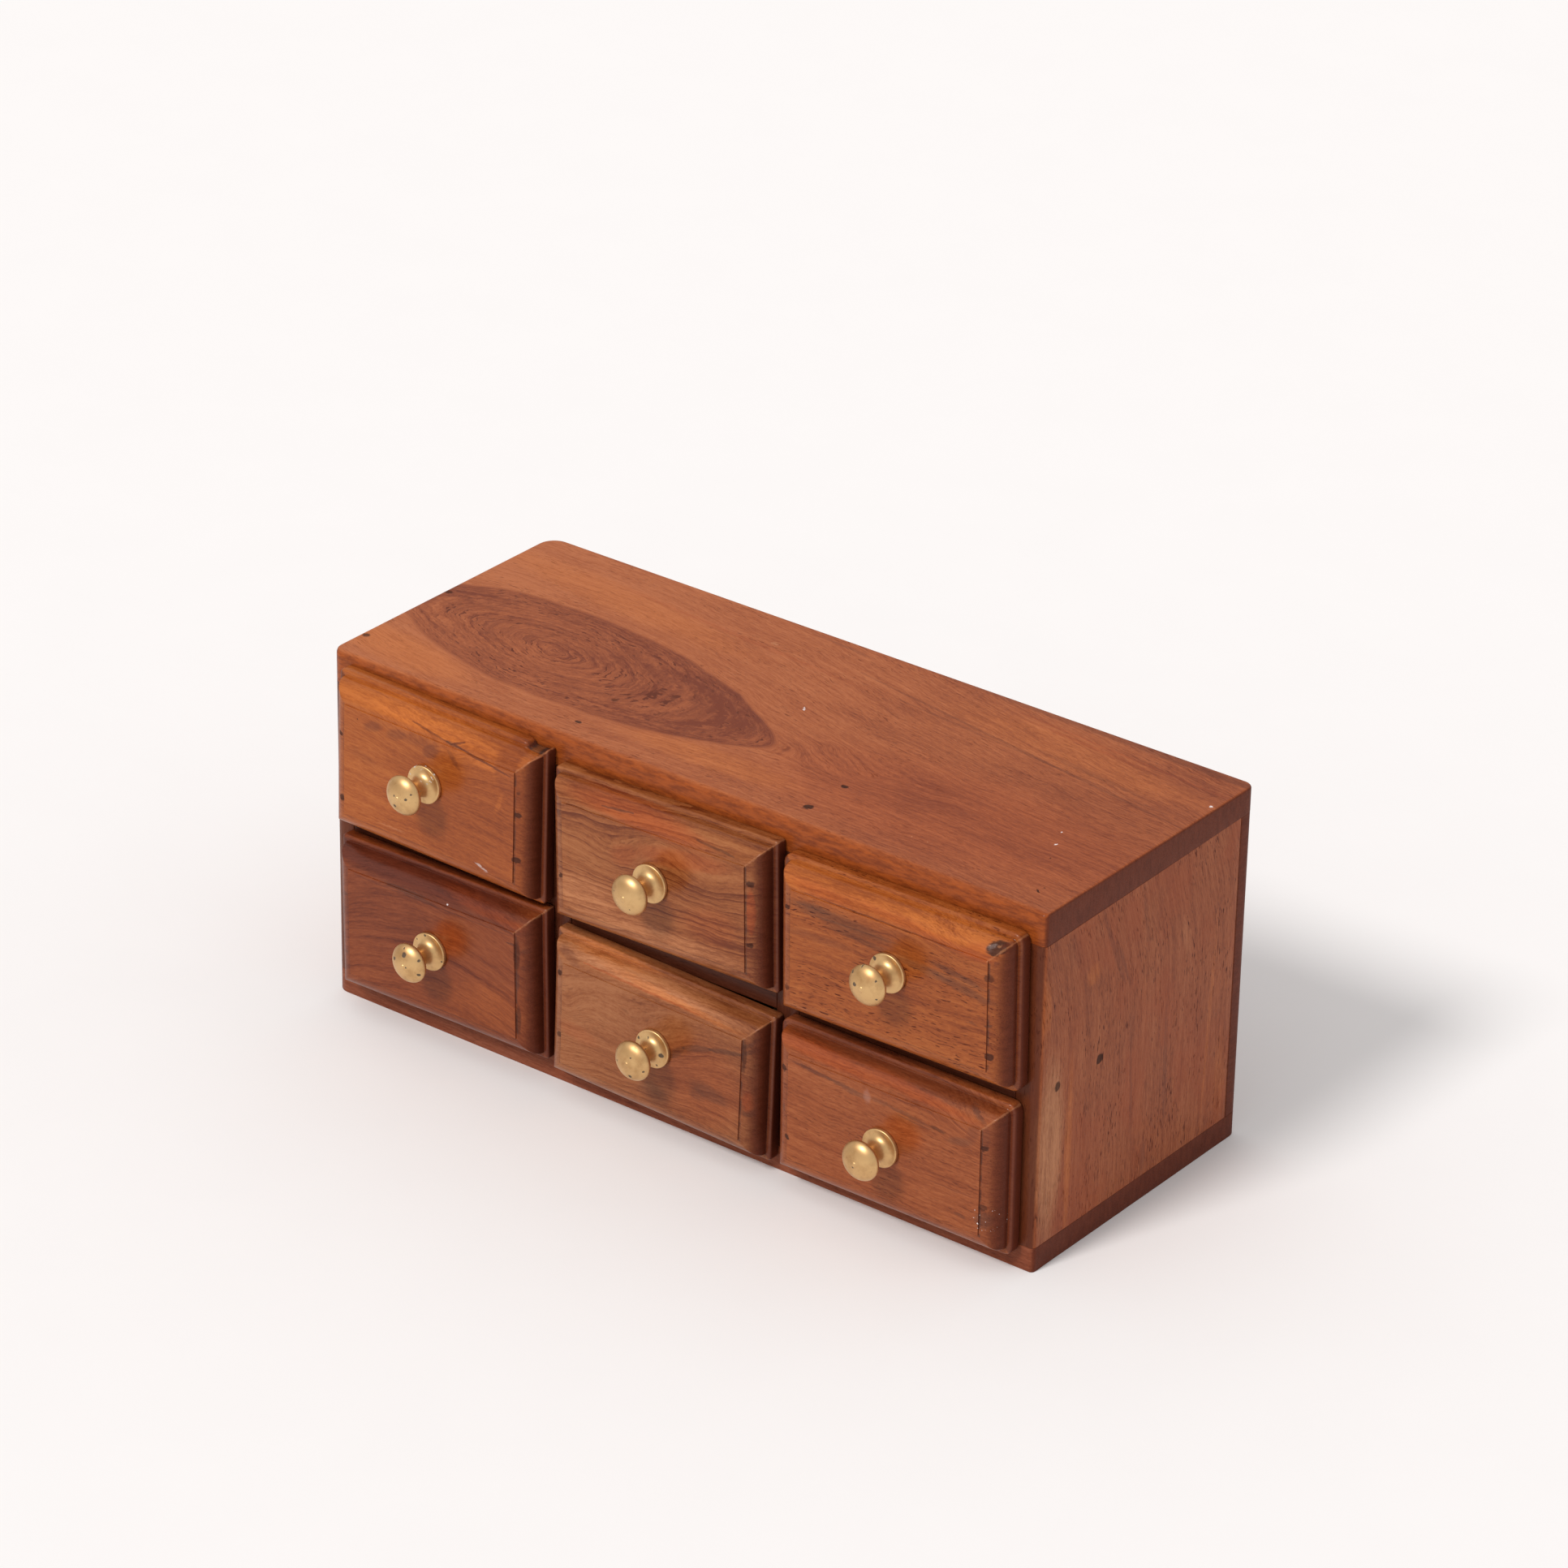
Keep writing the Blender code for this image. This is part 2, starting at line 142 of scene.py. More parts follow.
class ChestStage(bpy.types.PropertyGroup):
    """Floor, light and camera."""
    floor: colour("Floor", "Colour of the plain floor", srgb(241, 239, 239))
    sky_strength: FloatProperty(name="Room light", description="Strength of the even light", default=0.70)
    key_strength: FloatProperty(name="Key light", description="Strength of the key light", default=1.9)
    key_spread: FloatProperty(
        name="Key spread", description="Angle that the key light fills", default=radians(14), subtype="ANGLE")
    key_azimuth: FloatProperty(
        name="Key azimuth", description="Key light left of the front", default=radians(-11), subtype="ANGLE")
    key_elevation: FloatProperty(
        name="Key elevation", description="Key light above the horizon", default=radians(45), subtype="ANGLE")
    aim: FloatVectorProperty(
        name="Aim", description="Point that the camera looks at", default=(-0.0098, 0.0131, 0.0977),
        subtype="TRANSLATION")
    distance: length("Distance", "From the camera to its aim", 2.1466)
    azimuth: FloatProperty(
        name="Azimuth", description="Camera right of the front", default=radians(37.243), subtype="ANGLE")
    elevation: FloatProperty(
        name="Elevation", description="Camera above the horizon", default=radians(27.236), subtype="ANGLE")
    roll: FloatProperty(
        name="Roll", description="Turn about the line of sight", default=radians(1.1), subtype="ANGLE")
    lens: FloatProperty(name="Lens", description="Focal length in mm on a 36 mm frame", default=145.38)


# ---------------------------------------------------------------- shader maths

def both_forms(operation):
    """An operator on signals, plain and reflected."""
    return (lambda signal, other: signal.combine(operation, signal, other),
            lambda signal, other: signal.combine(operation, other, signal))


class Signal:
    """A value that varies over a surface. Python's operators on signals add Math nodes."""

    def __init__(self, finish, socket):
        self.finish = finish
        self.socket = socket

    def combine(self, operation, *values):
        return self.finish.node("ShaderNodeMath", {"operation": operation}, values)

    __add__, __radd__ = both_forms("ADD")
    __sub__, __rsub__ = both_forms("SUBTRACT")
    __mul__, __rmul__ = both_forms("MULTIPLY")
    __truediv__, __rtruediv__ = both_forms("DIVIDE")
    __pow__, __rpow__ = both_forms("POWER")

    def __abs__(self):
        return self.combine("ABSOLUTE", self)


class Finish:
    """A material in the making: its nodes, the surface's own coordinates and shared helpers."""

    def __init__(self, name):
        self.material = bpy.data.materials.new(name)
        self.material.use_nodes = True
        self.tree = self.material.node_tree
        self.tree.nodes.clear()

    def node(self, kind, settings=None, sockets=(), output=0):
        """Adds a node: first its settings, then the values or links of its sockets."""
        made = self.tree.nodes.new(kind)
        for setting, value in (settings or {}).items():
            if setting == "stops":
                self.set_stops(made.color_ramp, value)
            else:
                setattr(made, setting, value)
        places = sockets.items() if isinstance(sockets, dict) else enumerate(sockets)
        for place, value in places:
            if isinstance(value, Signal):
                self.tree.links.new(value.socket, made.inputs[place])
            else:
                made.inputs[place].default_value = value
        return Signal(self, made.outputs[output]) if made.outputs else None

    @staticmethod
    def set_stops(ramp, stops):
        while len(ramp.elements) < len(stops):
            ramp.elements.new(1.0)
        for element, (position, tint) in zip(ramp.elements, stops):
            element.position = position
            element.color = (*tint, 1.0)

    def place_mm(self):
        """The surface's place at rest, in millimetres."""
        place = self.node("ShaderNodeTexCoord", output="Object")
        parts = [self.node("ShaderNodeSeparateXYZ", None, (place,), output=i) for i in range(3)]
        return [part * 1000.0 for part in parts]

    def facing(self, axis):
        """How squarely the surface faces along an axis, 0 to 1."""
        normal = self.node("ShaderNodeTexCoord", output="Normal")
        return abs(self.node("ShaderNodeVectorMath", {"operation": "DOT_PRODUCT"}, (normal, axis), "Value"))

    def noise(self, place, sizes, seed=0.0, detail=3.0, roughness=0.55):
        """Noise from 0 to 1 whose lumps are about so many mm long, wide and deep."""
        along, across, deep = place
        where = self.node("ShaderNodeCombineXYZ", None, (
            along / sizes[0] + seed, across / sizes[1] + seed * 0.7, deep / sizes[2] - seed))
        return self.node("ShaderNodeTexNoise", {"noise_dimensions": "3D"}, {
            "Vector": where, "Scale": 1.0, "Detail": detail, "Roughness": roughness})

    def ease(self, value, start, end):
        """0 up to start and 1 from end, smooth between them. Start may be above end."""
        return self.node("ShaderNodeMapRange", {"interpolation_type": "SMOOTHSTEP"},
                         (value, start, end, 0.0, 1.0))

    def fraction(self, value):
        return self.node("ShaderNodeMath", {"operation": "FRACT"}, (value,))

    def positive(self, value):
        return self.node("ShaderNodeMath", {"operation": "MAXIMUM"}, (value, 0.0))

    def mix(self, amount, base, over):
        """A colour laid over another. Plain colours may be given in place of signals."""
        base, over = (c if isinstance(c, Signal) else (*c, 1.0) for c in (base, over))
        return self.node("ShaderNodeMix", {"data_type": "RGBA"}, {0: amount, 6: base, 7: over}, output=2)

    def finish(self, sockets):
        shader = self.node("ShaderNodeBsdfPrincipled", None, sockets)
        self.node("ShaderNodeOutputMaterial", None, {"Surface": shader})
        return self.material


def shaded(tint, red, green, blue):
    return tint[0] * red, tint[1] * green, tint[2] * blue


# ---------------------------------------------------------------- marks in the wood

# An oval patch and a thin line, in mm. A patch is turned by degrees, and soft is how far its edge fades.
Spot = namedtuple("Spot", "tint u v long wide strength turn soft", defaults=(0, 0.9))
Line = namedtuple("Line", "tint u0 v0 u1 v1 width strength")
Whorl = namedtuple("Whorl", "u v long wide rings")


stain, ember, honey, pale, fill, dust = (
    partial(Spot, tint) for tint in ("stain", "ember", "honey", "pale", "filler", "dust"))
stain_line, ember_line, fill_line = (partial(Line, tint) for tint in ("stain", "ember", "filler"))


def brad(u, v, size=1.0, strength=0.85):
    """A filled brad head."""
    return fill(u, v, 1.15 * size, 0.95 * size, strength, 12, 0.45)


# Each front from its own centre, u to the right and v up along the leaning board, in mm:
#   shade    painted shade: how much darker it gets to the right, where less light falls
#   rings    spacing and strength of the growth rings; slope and bend lay their run, whorls bulge them
#   streak   strength of the broad bands along the grain; pores, how many dark pores
#   corner   radius of the lip's corners
#   chip     start, end and depth of the piece broken from the lip's top edge
#   knot     place, size and depth of the knot hole
#   dust     place and size of a patch of white grit
FRONT_LOOKS = {
    1: {
        "shade": 0.12, "rings": (4.5, 0.4), "slope": 0.05, "bend": 0.0006, "streak": 0.35, "pores": 0.3,
        "whorls": (Whorl(4, 16, 26, 10, 1.8),),
        "marks": (
            honey(8.5, 23, 34, 5, 0.62, -5), honey(-23, 25.3, 26, 2.8, 0.35),
            # The big drawer_4 patch at (25, -8) is painted shade that darkens the right half further.
            Spot("drawer_4", 38, 21, 9, 13, 0.45, 0, 0.35), Spot("drawer_4", 25, -8, 26, 20, 0.28),
            stain(-24.5, 17, 4.5, 1.9, 0.42, 20, 0.8), stain(-14, 17.5, 4.6, 2.1, 0.38, 16, 0.8),
            stain(-3, 19, 9, 2.8, 0.3, 5), stain(1, 16.2, 3.8, 2.4, 0.42, 25, 0.6),
            stain(11.2, 16.6, 4.2, 1.1, 0.4, -48, 0.8), stain(-29, 4, 7, 2, 0.16, -10),
            stain_line(-8, 24.3, 10, 22, 0.45, 0.6), fill_line(7.5, 22.3, 14, 21.8, 0.9, 0.5),
            stain_line(10, 22.2, 15, 24.2, 0.55, 0.7), stain_line(11, 22.2, 36, 18.9, 0.6, 0.7),
            # fill(40.6, 27.9) is painted shadow in the chip broken from the lip's top edge.
            honey(31, 7, 1, 4.5, 0.3, -20), fill(40.6, 27.9, 3.8, 1.1, 0.9, -4, 0.5),
            honey(40.5, 24.5, 2.4, 4, 0.35), dust(23.6, -19.6, 3, 0.35, 0.38, -14, 0.7),
            pale(-16, -18.8, 6, 0.35, 0.35), fill(-31.5, 17.5, 0.28, 0.28, 0.8, 0, 0.5),
            fill(39, 13.4, 0.8, 0.6, 0.55, 0, 0.7), brad(-39.5, 9.1), brad(-38.7, -15.2, 1.3),
            brad(39, 5.4, 1.25), brad(38.6, -11.9, 1.4),
        ),
        "corner": 1.8, "chip": (36.6, 45.2, 1.8),
    },
    2: {
        "shade": 0.12, "rings": (2.4, 2.0), "slope": -0.06, "bend": 0.0, "streak": 0.8, "pores": 0.5,
        "whorls": (Whorl(-16, 5, 15, 8, 2.6), Whorl(24, 6, 16, 8, 2.2), Whorl(4, 18, 12, 6, -1.6)),
        "marks": (
            ember(-7, 22.8, 32, 3.8, 0.6, -3), ember(12, 14, 20, 4, 0.42, 8), ember(-12, 8, 6, 4, 0.3, 20),
            ember(24, -7, 12, 7, 0.22, 8), pale(-28, -12, 14, 8, 0.3), pale(6, -18, 34, 4, 0.3),
            fill_line(-22, 22.8, -9, 23.5, 0.45, 0.5), fill_line(18, 22.6, 34, 21.4, 0.6, 0.4),
            ember(40.6, 3, 1.6, 8.5, 0.65, 0, 0.4), brad(-40.1, 15.1, 1.2, 0.4), brad(-39.6, -8.1, 1),
            brad(40.3, 13.4, 1.35), brad(40.3, -9.1, 1.1),
        ),
        "corner": 1.4,
    },
    3: {
        "shade": 0.02, "rings": (4.0, 0.5), "slope": -0.03, "bend": 0.0, "streak": 0.55, "pores": 1.6,
        "whorls": (Whorl(38, 24, 22, 10, 2.5),),
        "marks": (
            honey(-2, 23.8, 60, 4.2, 0.55), ember(-27, 22.6, 14, 2, 0.45, -3),
            ember(13, 21.8, 30, 1.6, 0.4, -4), ember(35.5, 21.4, 8, 3, 0.4, 10),
            stain_line(-34, 20.8, 30, 20, 0.35, 0.55), fill(-20, 15.2, 22, 2.6, 0.4, -3),
            fill(-30, 16.8, 7, 1.5, 0.3), fill(-12, 11.2, 14, 1.3, 0.35, -4),
            fill(14, 9, 12, 1.6, 0.34, -6), fill(28, 11, 12, 1.2, 0.42, -9), fill(30, 7.2, 13, 2, 0.4, -10),
            stain(-28, 6.2, 16, 1.6, 0.32, 2), fill_line(-38, 13.8, 5, 14.6, 0.4, 0.3),
            fill_line(26, -21.8, 36, -22, 0.3, 0.4), fill(40, -3.2, 1.6, 0.5, 0.5, 10, 0.7),
            # fill(41.4, 24.2) darkens the knot hole, partly as painted shade in its recess; pale(41.6, 24.9)
            # is a painted glint in it.
            fill(33, -4, 2.6, 0.35, 0.3, 0, 0.8), fill(41.4, 24.2, 3.9, 1.9, 0.88, 8, 0.4),
            stain(43.8, 25.6, 1.8, 0.6, 0.6, 30, 0.5), pale(41.6, 24.9, 0.8, 0.3, 0.3, 20, 0.6),
            stain(42.2, 19.8, 1, 0.7, 0.5, 0, 0.7), brad(-41.2, 13.2), brad(-41.2, -16, 1.1, 0.6),
            brad(39.8, 13.8, 1.6, 0.6), brad(40.4, -14.4, 1.5),
        ),
        "corner": 3.6, "knot": (41.4, 24.2, 1.15, 0.8),
    },
    4: {
        "shade": -0.04, "rings": (3.6, 0.8), "slope": 0.0, "bend": 0.0050, "streak": 0.6, "pores": 0.3,
        "whorls": (),
        "marks": (
            stain(-8, 25.4, 50, 3.4, 0.92, 0, 0.6), stain(-1.5, 22.6, 50, 2.6, 0.62, -2),
            ember(25, 23.6, 22, 2, 0.3, -6), fill(-10, 20.3, 12, 0.9, 0.5, -3),
            stain_line(-34, 19.6, 36, 18.6, 0.4, 0.55), ember(8, 8.5, 8, 6, 0.4, 30, 0.95),
            Spot("drawer_1", 26, -12, 22, 9, 0.35, 8, 0.95), stain(-22, 6, 20, 18, 0.12),
            fill_line(34, 15.6, 38, 15.7, 0.5, 0.5), fill(38, 12, 1.2, 6.5, 0.62, 0, 0.6),
            fill(38, 2, 0.9, 4, 0.45, 0, 0.6), fill(38.2, -13, 1.1, 6, 0.55, 0, 0.6),
            fill(41.5, 14, 3, 1, 0.35, 18, 0.8), stain(41.3, 7.5, 2.6, 1.1, 0.5, 15, 0.8),
            dust(7.5, 21.2, 0.5, 0.3, 0.7, 20, 0.5), honey(-14.5, 33.2, 0.6, 0.3, 0.8, 20, 0.5),
            brad(-39, 10.6, 1, 0.4), brad(-39, -12.4, 0.9, 0.4),
        ),
        "corner": 1.2,
    },
    5: {
        "shade": 0.16, "rings": (2.8, 0.75), "slope": -0.10, "bend": 0.0030, "streak": 0.55, "pores": 0.4,
        "whorls": (Whorl(-4, 2, 24, 13, 4.0), Whorl(-36, 3, 8, 8, 1.6)),
        "marks": (
            pale(-8, 24, 42, 2.6, 0.5, -2), honey(7, 22.4, 30, 1.2, 0.4, -3),
            honey(-23, 26.2, 22, 1.5, 0.45), stain(-36.4, 22.4, 5.5, 1.6, 0.38, -20, 0.6),
            ember_line(-30, 22.2, 20, 21.4, 0.5, 0.45), ember(22, -4, 20, 17, 0.3, 10),
            fill(25.5, -6, 8.5, 3, 0.36, -8), fill(20.5, -8.4, 3.5, 2.6, 0.26),
            fill_line(9, 1.5, 14, 6.8, 1.9, 0.34), fill_line(14, 6.8, 25, 10.6, 1.7, 0.38),
            fill_line(25, 10.6, 38, 13.6, 1.3, 0.42), fill_line(38, 13.6, 46, 17.5, 1.1, 0.4),
            fill(2, -15, 7, 4, 0.28, -10), ember(-31, -5, 9, 3, 0.22, -6),
            fill(39.2, 13, 0.9, 6.5, 0.62, 0, 0.6), fill(42, 18.8, 4.4, 0.9, 0.4, 38, 0.8),
            fill(42.5, -8, 3.4, 1.4, 0.45, 14, 0.8), ember(41, -4, 2, 4, 0.55, 0, 0.7),
            brad(-39.8, 15.1, 1.2), brad(-39.2, -8.7, 1.2, 0.75),
        ),
        "corner": 1.4,
    },
    6: {
        "shade": 0.04, "rings": (1.9, 0.8), "slope": 0.02, "bend": 0.0, "streak": 0.5, "pores": 0.8,
        "whorls": (Whorl(42, 24, 14, 12, 5.5), Whorl(-6, 4, 40, 9, 1.2)),
        "marks": (
            stain(-3, 26.2, 50, 2.6, 0.62, -1, 0.6), ember(-25, 23.2, 24, 2.3, 0.55, -3),
            ember(13, 22.8, 24, 1.8, 0.45, -4), ember(8, 7.2, 9, 4.6, 0.35, -4),
            fill(-28, 17.3, 9, 0.9, 0.36, -5), fill(-15, 16, 9, 1, 0.44, -6),
            fill(-1, 15.6, 6, 0.8, 0.3, -2), fill(11, 14.4, 9, 0.9, 0.38, -5),
            fill_line(6, 13.4, 20, 12.6, 0.4, 0.35), fill(22, 13.8, 3.5, 0.7, 0.55, -8, 0.8),
            fill(31, 12.6, 6, 1.6, 0.34, 14), stain(-32, 17.6, 9, 0.7, 0.4, -4),
            stain(36, 17.5, 2.4, 3.4, 0.35, -30), dust(-6.6, 15.8, 1.5, 2.6, 0.045),
            fill(36.5, 23.6, 4.5, 0.9, 0.42, -24, 0.8), fill(32, -14.8, 2.6, 0.7, 0.38, -12, 0.8),
            stain_line(16, -6.4, 38, -6.2, 0.3, 0.35), fill(41, -13.6, 3.4, 3, 0.48, 20, 0.8),
            stain(40.8, 17.4, 1.4, 4, 0.4, 0, 0.8), fill(-40.9, -1, 0.8, 1.8, 0.4, 0, 0.8),
            brad(-41.2, 13.9, 1.2), brad(-39.1, -11.3, 1), brad(40.4, 13.1, 1.25),
            brad(40.4, -8.9, 1.3, 0.6),
        ),
        "corner": 3.4, "dust": (41.2, -13.4, 6.0),
    },
}

# Marks of the top board from its centre: x to the right, y to the back.
# The honey patches at the front left (-132, -44) and the back right (92, 38) are partly painted sheen, where
# the top is lit lighter.
TOP_MARKS = (
    honey(-132, -44, 34, 10, 0.34, -8), honey(2, -41, 36, 7, 0.3, 2), honey(-96, 34, 60, 9, 0.24, -6),
    honey(92, 38, 52, 12, 0.24, -4), stain(110, 56.5, 84, 2.2, 0.4, -1, 0.8),
    stain_line(0, 42, 150, 17, 0.9, 0.3), stain_line(20, 34, 140, 22, 0.7, 0.22),
    ember_line(60, 52, 150, 44, 0.8, 0.4), ember(95, 46, 30, 1.2, 0.35, -5),
    ember(-50, 38, 60, 1.2, 0.25, -5), stain(-16, 54.5, 14, 0.9, 0.34, -6),
    stain(105, 30, 26, 1.2, 0.24, -8), ember(90, -24, 74, 32, 0.38),
    fill(-51, -27.6, 1.3, 1.1, 0.55, 0, 0.6), fill(-50, -48, 1.4, 1.1, 0.85, 0, 0.5),
    fill(46.6, -47.6, 1.9, 1.6, 0.88, 30, 0.5), fill(47, -28.6, 1.5, 1.2, 0.88, 0, 0.5),
    fill(-148.2, 1, 1.6, 1.3, 0.7, 0, 0.6), fill(-147.6, -43, 1.5, 1.4, 0.8, 0, 0.6),
    fill(138, -47.2, 1.1, 0.4, 0.9, -40, 0.4), fill(138.4, -44, 0.35, 0.35, 0.9, 0, 0.4),
    fill(128, -26.6, 0.4, 0.4, 0.8, 0, 0.4), dust(124, -17.6, 0.55, 0.4, 0.95, 20, 0.4),
    dust(120.4, -9.6, 0.3, 0.3, 0.8, 0, 0.4), dust(147.6, 36, 0.6, 0.7, 0.8, 0, 0.4),
    dust(2, 8, 1.4, 0.25, 0.7, -42, 0.6), pale(-36, 41, 1.6, 0.9, 0.5, 0, 0.8),
    pale(85, -43, 0.5, 0.3, 0.7, 0, 0.5), pale(91, -42.6, 0.4, 0.4, 0.7, 0, 0.5),
)

# Marks of the right side: u is the distance behind the chest's middle, v the height over the bench.
SIDE_MARKS = (
    Spot("box", -52, 44, 7, 34, 0.5, 0, 0.8), honey(-41.5, 40, 2, 32, 0.34), honey(-31, 99, 4, 4, 0.28),
    honey(-56, 96, 2.6, 12, 0.28), stain(-20, 104, 1.3, 16, 0.32, 24), stain(-14, 96, 0.9, 12, 0.34, 24),
    stain(-2, 108, 1.1, 14, 0.22, 12), stain(-42, 112, 3.4, 7, 0.2, 20), stain(-7, 50, 0.8, 26, 0.3, 4),
    stain(13, 44, 1.2, 26, 0.24, 2), stain(2, 16, 1.6, 7, 0.36), honey(38, 50, 0.9, 40, 0.2, -3),
    pale(22, 90, 2.6, 8, 0.14, 20), honey(46, 28, 3.6, 18, 0.18), fill(-48.9, 65.6, 1.4, 1.8, 0.8, 0, 0.5),
    fill(-25.6, 65.6, 1.9, 1.7, 0.86, 40, 0.5),
)


# How each board's wood runs: its place along, across and through the grain, and the grain's axis
GRAIN_RUNS = {
    "lengthways": (lambda x, y, z: (x, y, z), (1, 0, 0)),
    "on_edge": (lambda x, y, z: (x, z, y), (1, 0, 0)),
    "front_to_back": (lambda x, y, z: (y, z, x), (0, 1, 0)),
    "upright": (lambda x, y, z: (z, x, y), (0, 0, 1)),
    "upright_side": (lambda x, y, z: (z, y, x), (0, 0, 1)),
}


class Wood(Finish):
    """A varnished wood whose grain runs through the whole board."""

    def __init__(self, name, colours, body, place, grain_axis):
        super().__init__(name)
        self.colours = colours
        x, y, z = self.place_mm()
        self.place = place(x, y, z)
        self.grain_axis = grain_axis
        self.body = body

    def colour_named(self, name):
        return tuple(getattr(self.colours, name))

    def warp(self, place, size, reach, seed):
        """The first two coordinates, shifted here and there by up to about reach mm."""
        first = self.noise(place, (size, size, size), seed)
        second = self.noise(place, (size, size, size), seed + 7.3)
        return place[0] + (first - 0.5) * (2 * reach), place[1] + (second - 0.5) * (2 * reach)

    def spot_mask(self, u, v, spot):
        """An oval patch with soft edges."""
        turn = radians(spot.turn)
        du, dv = u - spot.u, v - spot.v
        long = du * (cos(turn) / spot.long) + dv * (sin(turn) / spot.long)
        wide = dv * (cos(turn) / spot.wide) - du * (sin(turn) / spot.wide)
        return self.ease(long * long + wide * wide, 1.0 + spot.soft * 0.6, 1.0 - spot.soft)

    def line_mask(self, u, v, line):
        """A thin line that narrows to both ends."""
        run_u, run_v = line.u1 - line.u0, line.v1 - line.v0
        reach = run_u ** 2 + run_v ** 2
        du, dv = u - line.u0, v - line.v0
        share = self.node("ShaderNodeMath", {"operation": "ADD", "use_clamp": True},
                          (du * (run_u / reach), dv * (run_v / reach)))
        off_u, off_v = du - share * run_u, dv - share * run_v
        full = share * (1.0 - share) * 3.2 + 0.2
        return self.ease((off_u * off_u + off_v * off_v) / full, line.width ** 2, line.width ** 2 * 0.1)

    def grained(self, tint, tone):
        """A tint through which the wood's own grain still shows."""
        light, dark = shaded(tint, 1.28, 1.36, 1.45), shaded(tint, 0.72, 0.62, 0.55)
        return self.mix(self.ease(tone, 0.05, 0.85), light, dark)

    def lay_marks(self, base, tone, marks, u, v, seed):
        """Lays each mark's colour over the wood, and returns how much filler there is."""
        place = (u, v, self.place[2])
        line_u, line_v = self.warp(place, 5.0, 0.5, seed)
        spot_u, spot_v = self.warp(place, 1.6, 0.55, seed + 1.0)
        streak = self.noise(place, (10.0, 0.9, 0.9), seed + 2.0, 3.0, 0.65)
        if self.grain_axis[2] > 0.9:
            streak = self.noise(place, (0.9, 10.0, 0.9), seed + 2.0, 3.0, 0.65)
            spot_u = spot_u + (streak - 0.5) * 2.4
        else:
            spot_v = spot_v + (streak - 0.5) * 2.4
        filler = None
        tints = {name: self.grained(self.colour_named(name), tone) for name in {m.tint for m in marks}}
        for mark in marks:
            if isinstance(mark, Spot):
                mask = self.spot_mask(spot_u, spot_v, mark)
            else:
                mask = self.line_mask(line_u, line_v, mark)
            mask = mask * mark.strength
            base = self.mix(mask, base, tints[mark.tint])
            if mark.tint == "filler" and mark.strength > 0.5:
                filler = mask if filler is None else filler + mask
        return base, filler

    def grain(self, field, seed, rings, streak, pores, ring_shade=None):
        """The wood's tone from 0, light, to 1, dark, and its pores.

        field is the distance through the growth rings in mm, rings their spacing and strength.
        """
        along, across, deep = self.place
        place = (along, field, deep)
        fibre = self.noise(place, (13.0, 0.85, 0.85), seed, 5.0, 0.72)
        band = self.noise(place, (60.0, 3.0, 3.0), seed + 3.1, 4.0, 0.62)
        cloud = self.noise((along, across, deep), (46.0, 20.0, 20.0), seed + 5.7, 2.0)
        spacing, strength = rings
        wander = self.noise(place, (30.0, 5.0, 5.0), seed + 1.9, 2.0)
        rise = self.fraction(field / spacing + wander * 1.6) ** 3.0
        uneven = self.noise(place, (90.0, spacing * 2.2, spacing * 2.2), seed + 9.1, 1.0)
        ring = rise * self.ease(uneven, 0.36, 0.68) * strength
        if ring_shade is not None:
            ring = ring * ring_shade
        pore_noise = self.noise(place, (3.4, 0.5, 0.5), seed + 2.3, 1.0)
        patch = self.noise((along, across, deep), (24.0, 9.0, 9.0), seed + 4.4, 1.0)
        pore = self.ease(pore_noise, 0.60, 0.70) * (self.ease(patch, 0.40, 0.60) * 0.7 + 0.3) * pores
        fleck = self.noise(place, (2.6, 0.6, 0.6), seed + 6.6, 3.0, 0.75)
        tone = 0.38 + (fibre - 0.5) * 1.2 + (band - 0.5) * (2.2 * streak) + (cloud - 0.5) * 0.6
        tone = tone + (fleck - 0.5) * 1.1
        return tone + ring * 0.42, fibre, pore

    def colour_of(self, tone, pore):
        """The wood's colour for its tone, with dark pores."""
        light = shaded(self.body, 1.30, 1.55, 1.85)
        dark = shaded(self.body, 0.48, 0.32, 0.24)
        tint = self.node("ShaderNodeValToRGB", {"stops": ((0.0, light), (0.42, self.body), (1.0, dark))},
                         (tone,))
        return self.mix(pore * 0.75, tint, shaded(dark, 0.7, 0.7, 0.8))

    def end_grain(self, base, seed):
        """Covers the sawn ends with dark, speckled end grain."""
        ends = self.ease(self.facing(self.grain_axis), 0.35, 0.92)
        speckle = self.noise(self.place, (1.0, 0.5, 0.5), seed + 6.1, 3.0, 0.7)
        rings = self.noise(self.place, (40.0, 1.6, 5.0), seed + 8.2, 2.0)
        tint = self.colour_named("end_grain")
        depth = self.ease(speckle * 0.6 + rings * 0.4, 0.35, 0.65)
        rough_end = self.mix(depth, shaded(tint, 1.25, 1.2, 1.15), shaded(tint, 0.72, 0.66, 0.62))
        return self.mix(ends * 0.92, base, rough_end), ends

    def varnish(self, base, fibre, pore, ends, filler=None, gloss=0.42, coat=0.30):
        """Satin varnish: grain that still shows through it, pores, stopping and sawn ends that stay dull."""
        dull = pore * 0.3 if filler is None else pore * 0.3 + filler * 0.9
        waves = self.noise(self.place, (26.0, 14.0, 14.0), 3.0, 2.0)
        height = fibre * 0.35 - pore * 0.8 + waves * 2.2
        if filler is not None:
            height = height - filler * 1.6
        bump = self.node("ShaderNodeBump", None, {"Strength": 0.35, "Distance": 0.00022, "Height": height})
        return self.finish({
            "Base Color": base,
            "Roughness": gloss + (fibre - 0.5) * 0.25 + dull * 0.4,
            "Normal": bump,
            "Coat Weight": (1.0 - dull) * (1.0 - ends * 0.9) * coat,
            "Coat Roughness": 0.22,
            "Specular IOR Level": 0.06,
        })


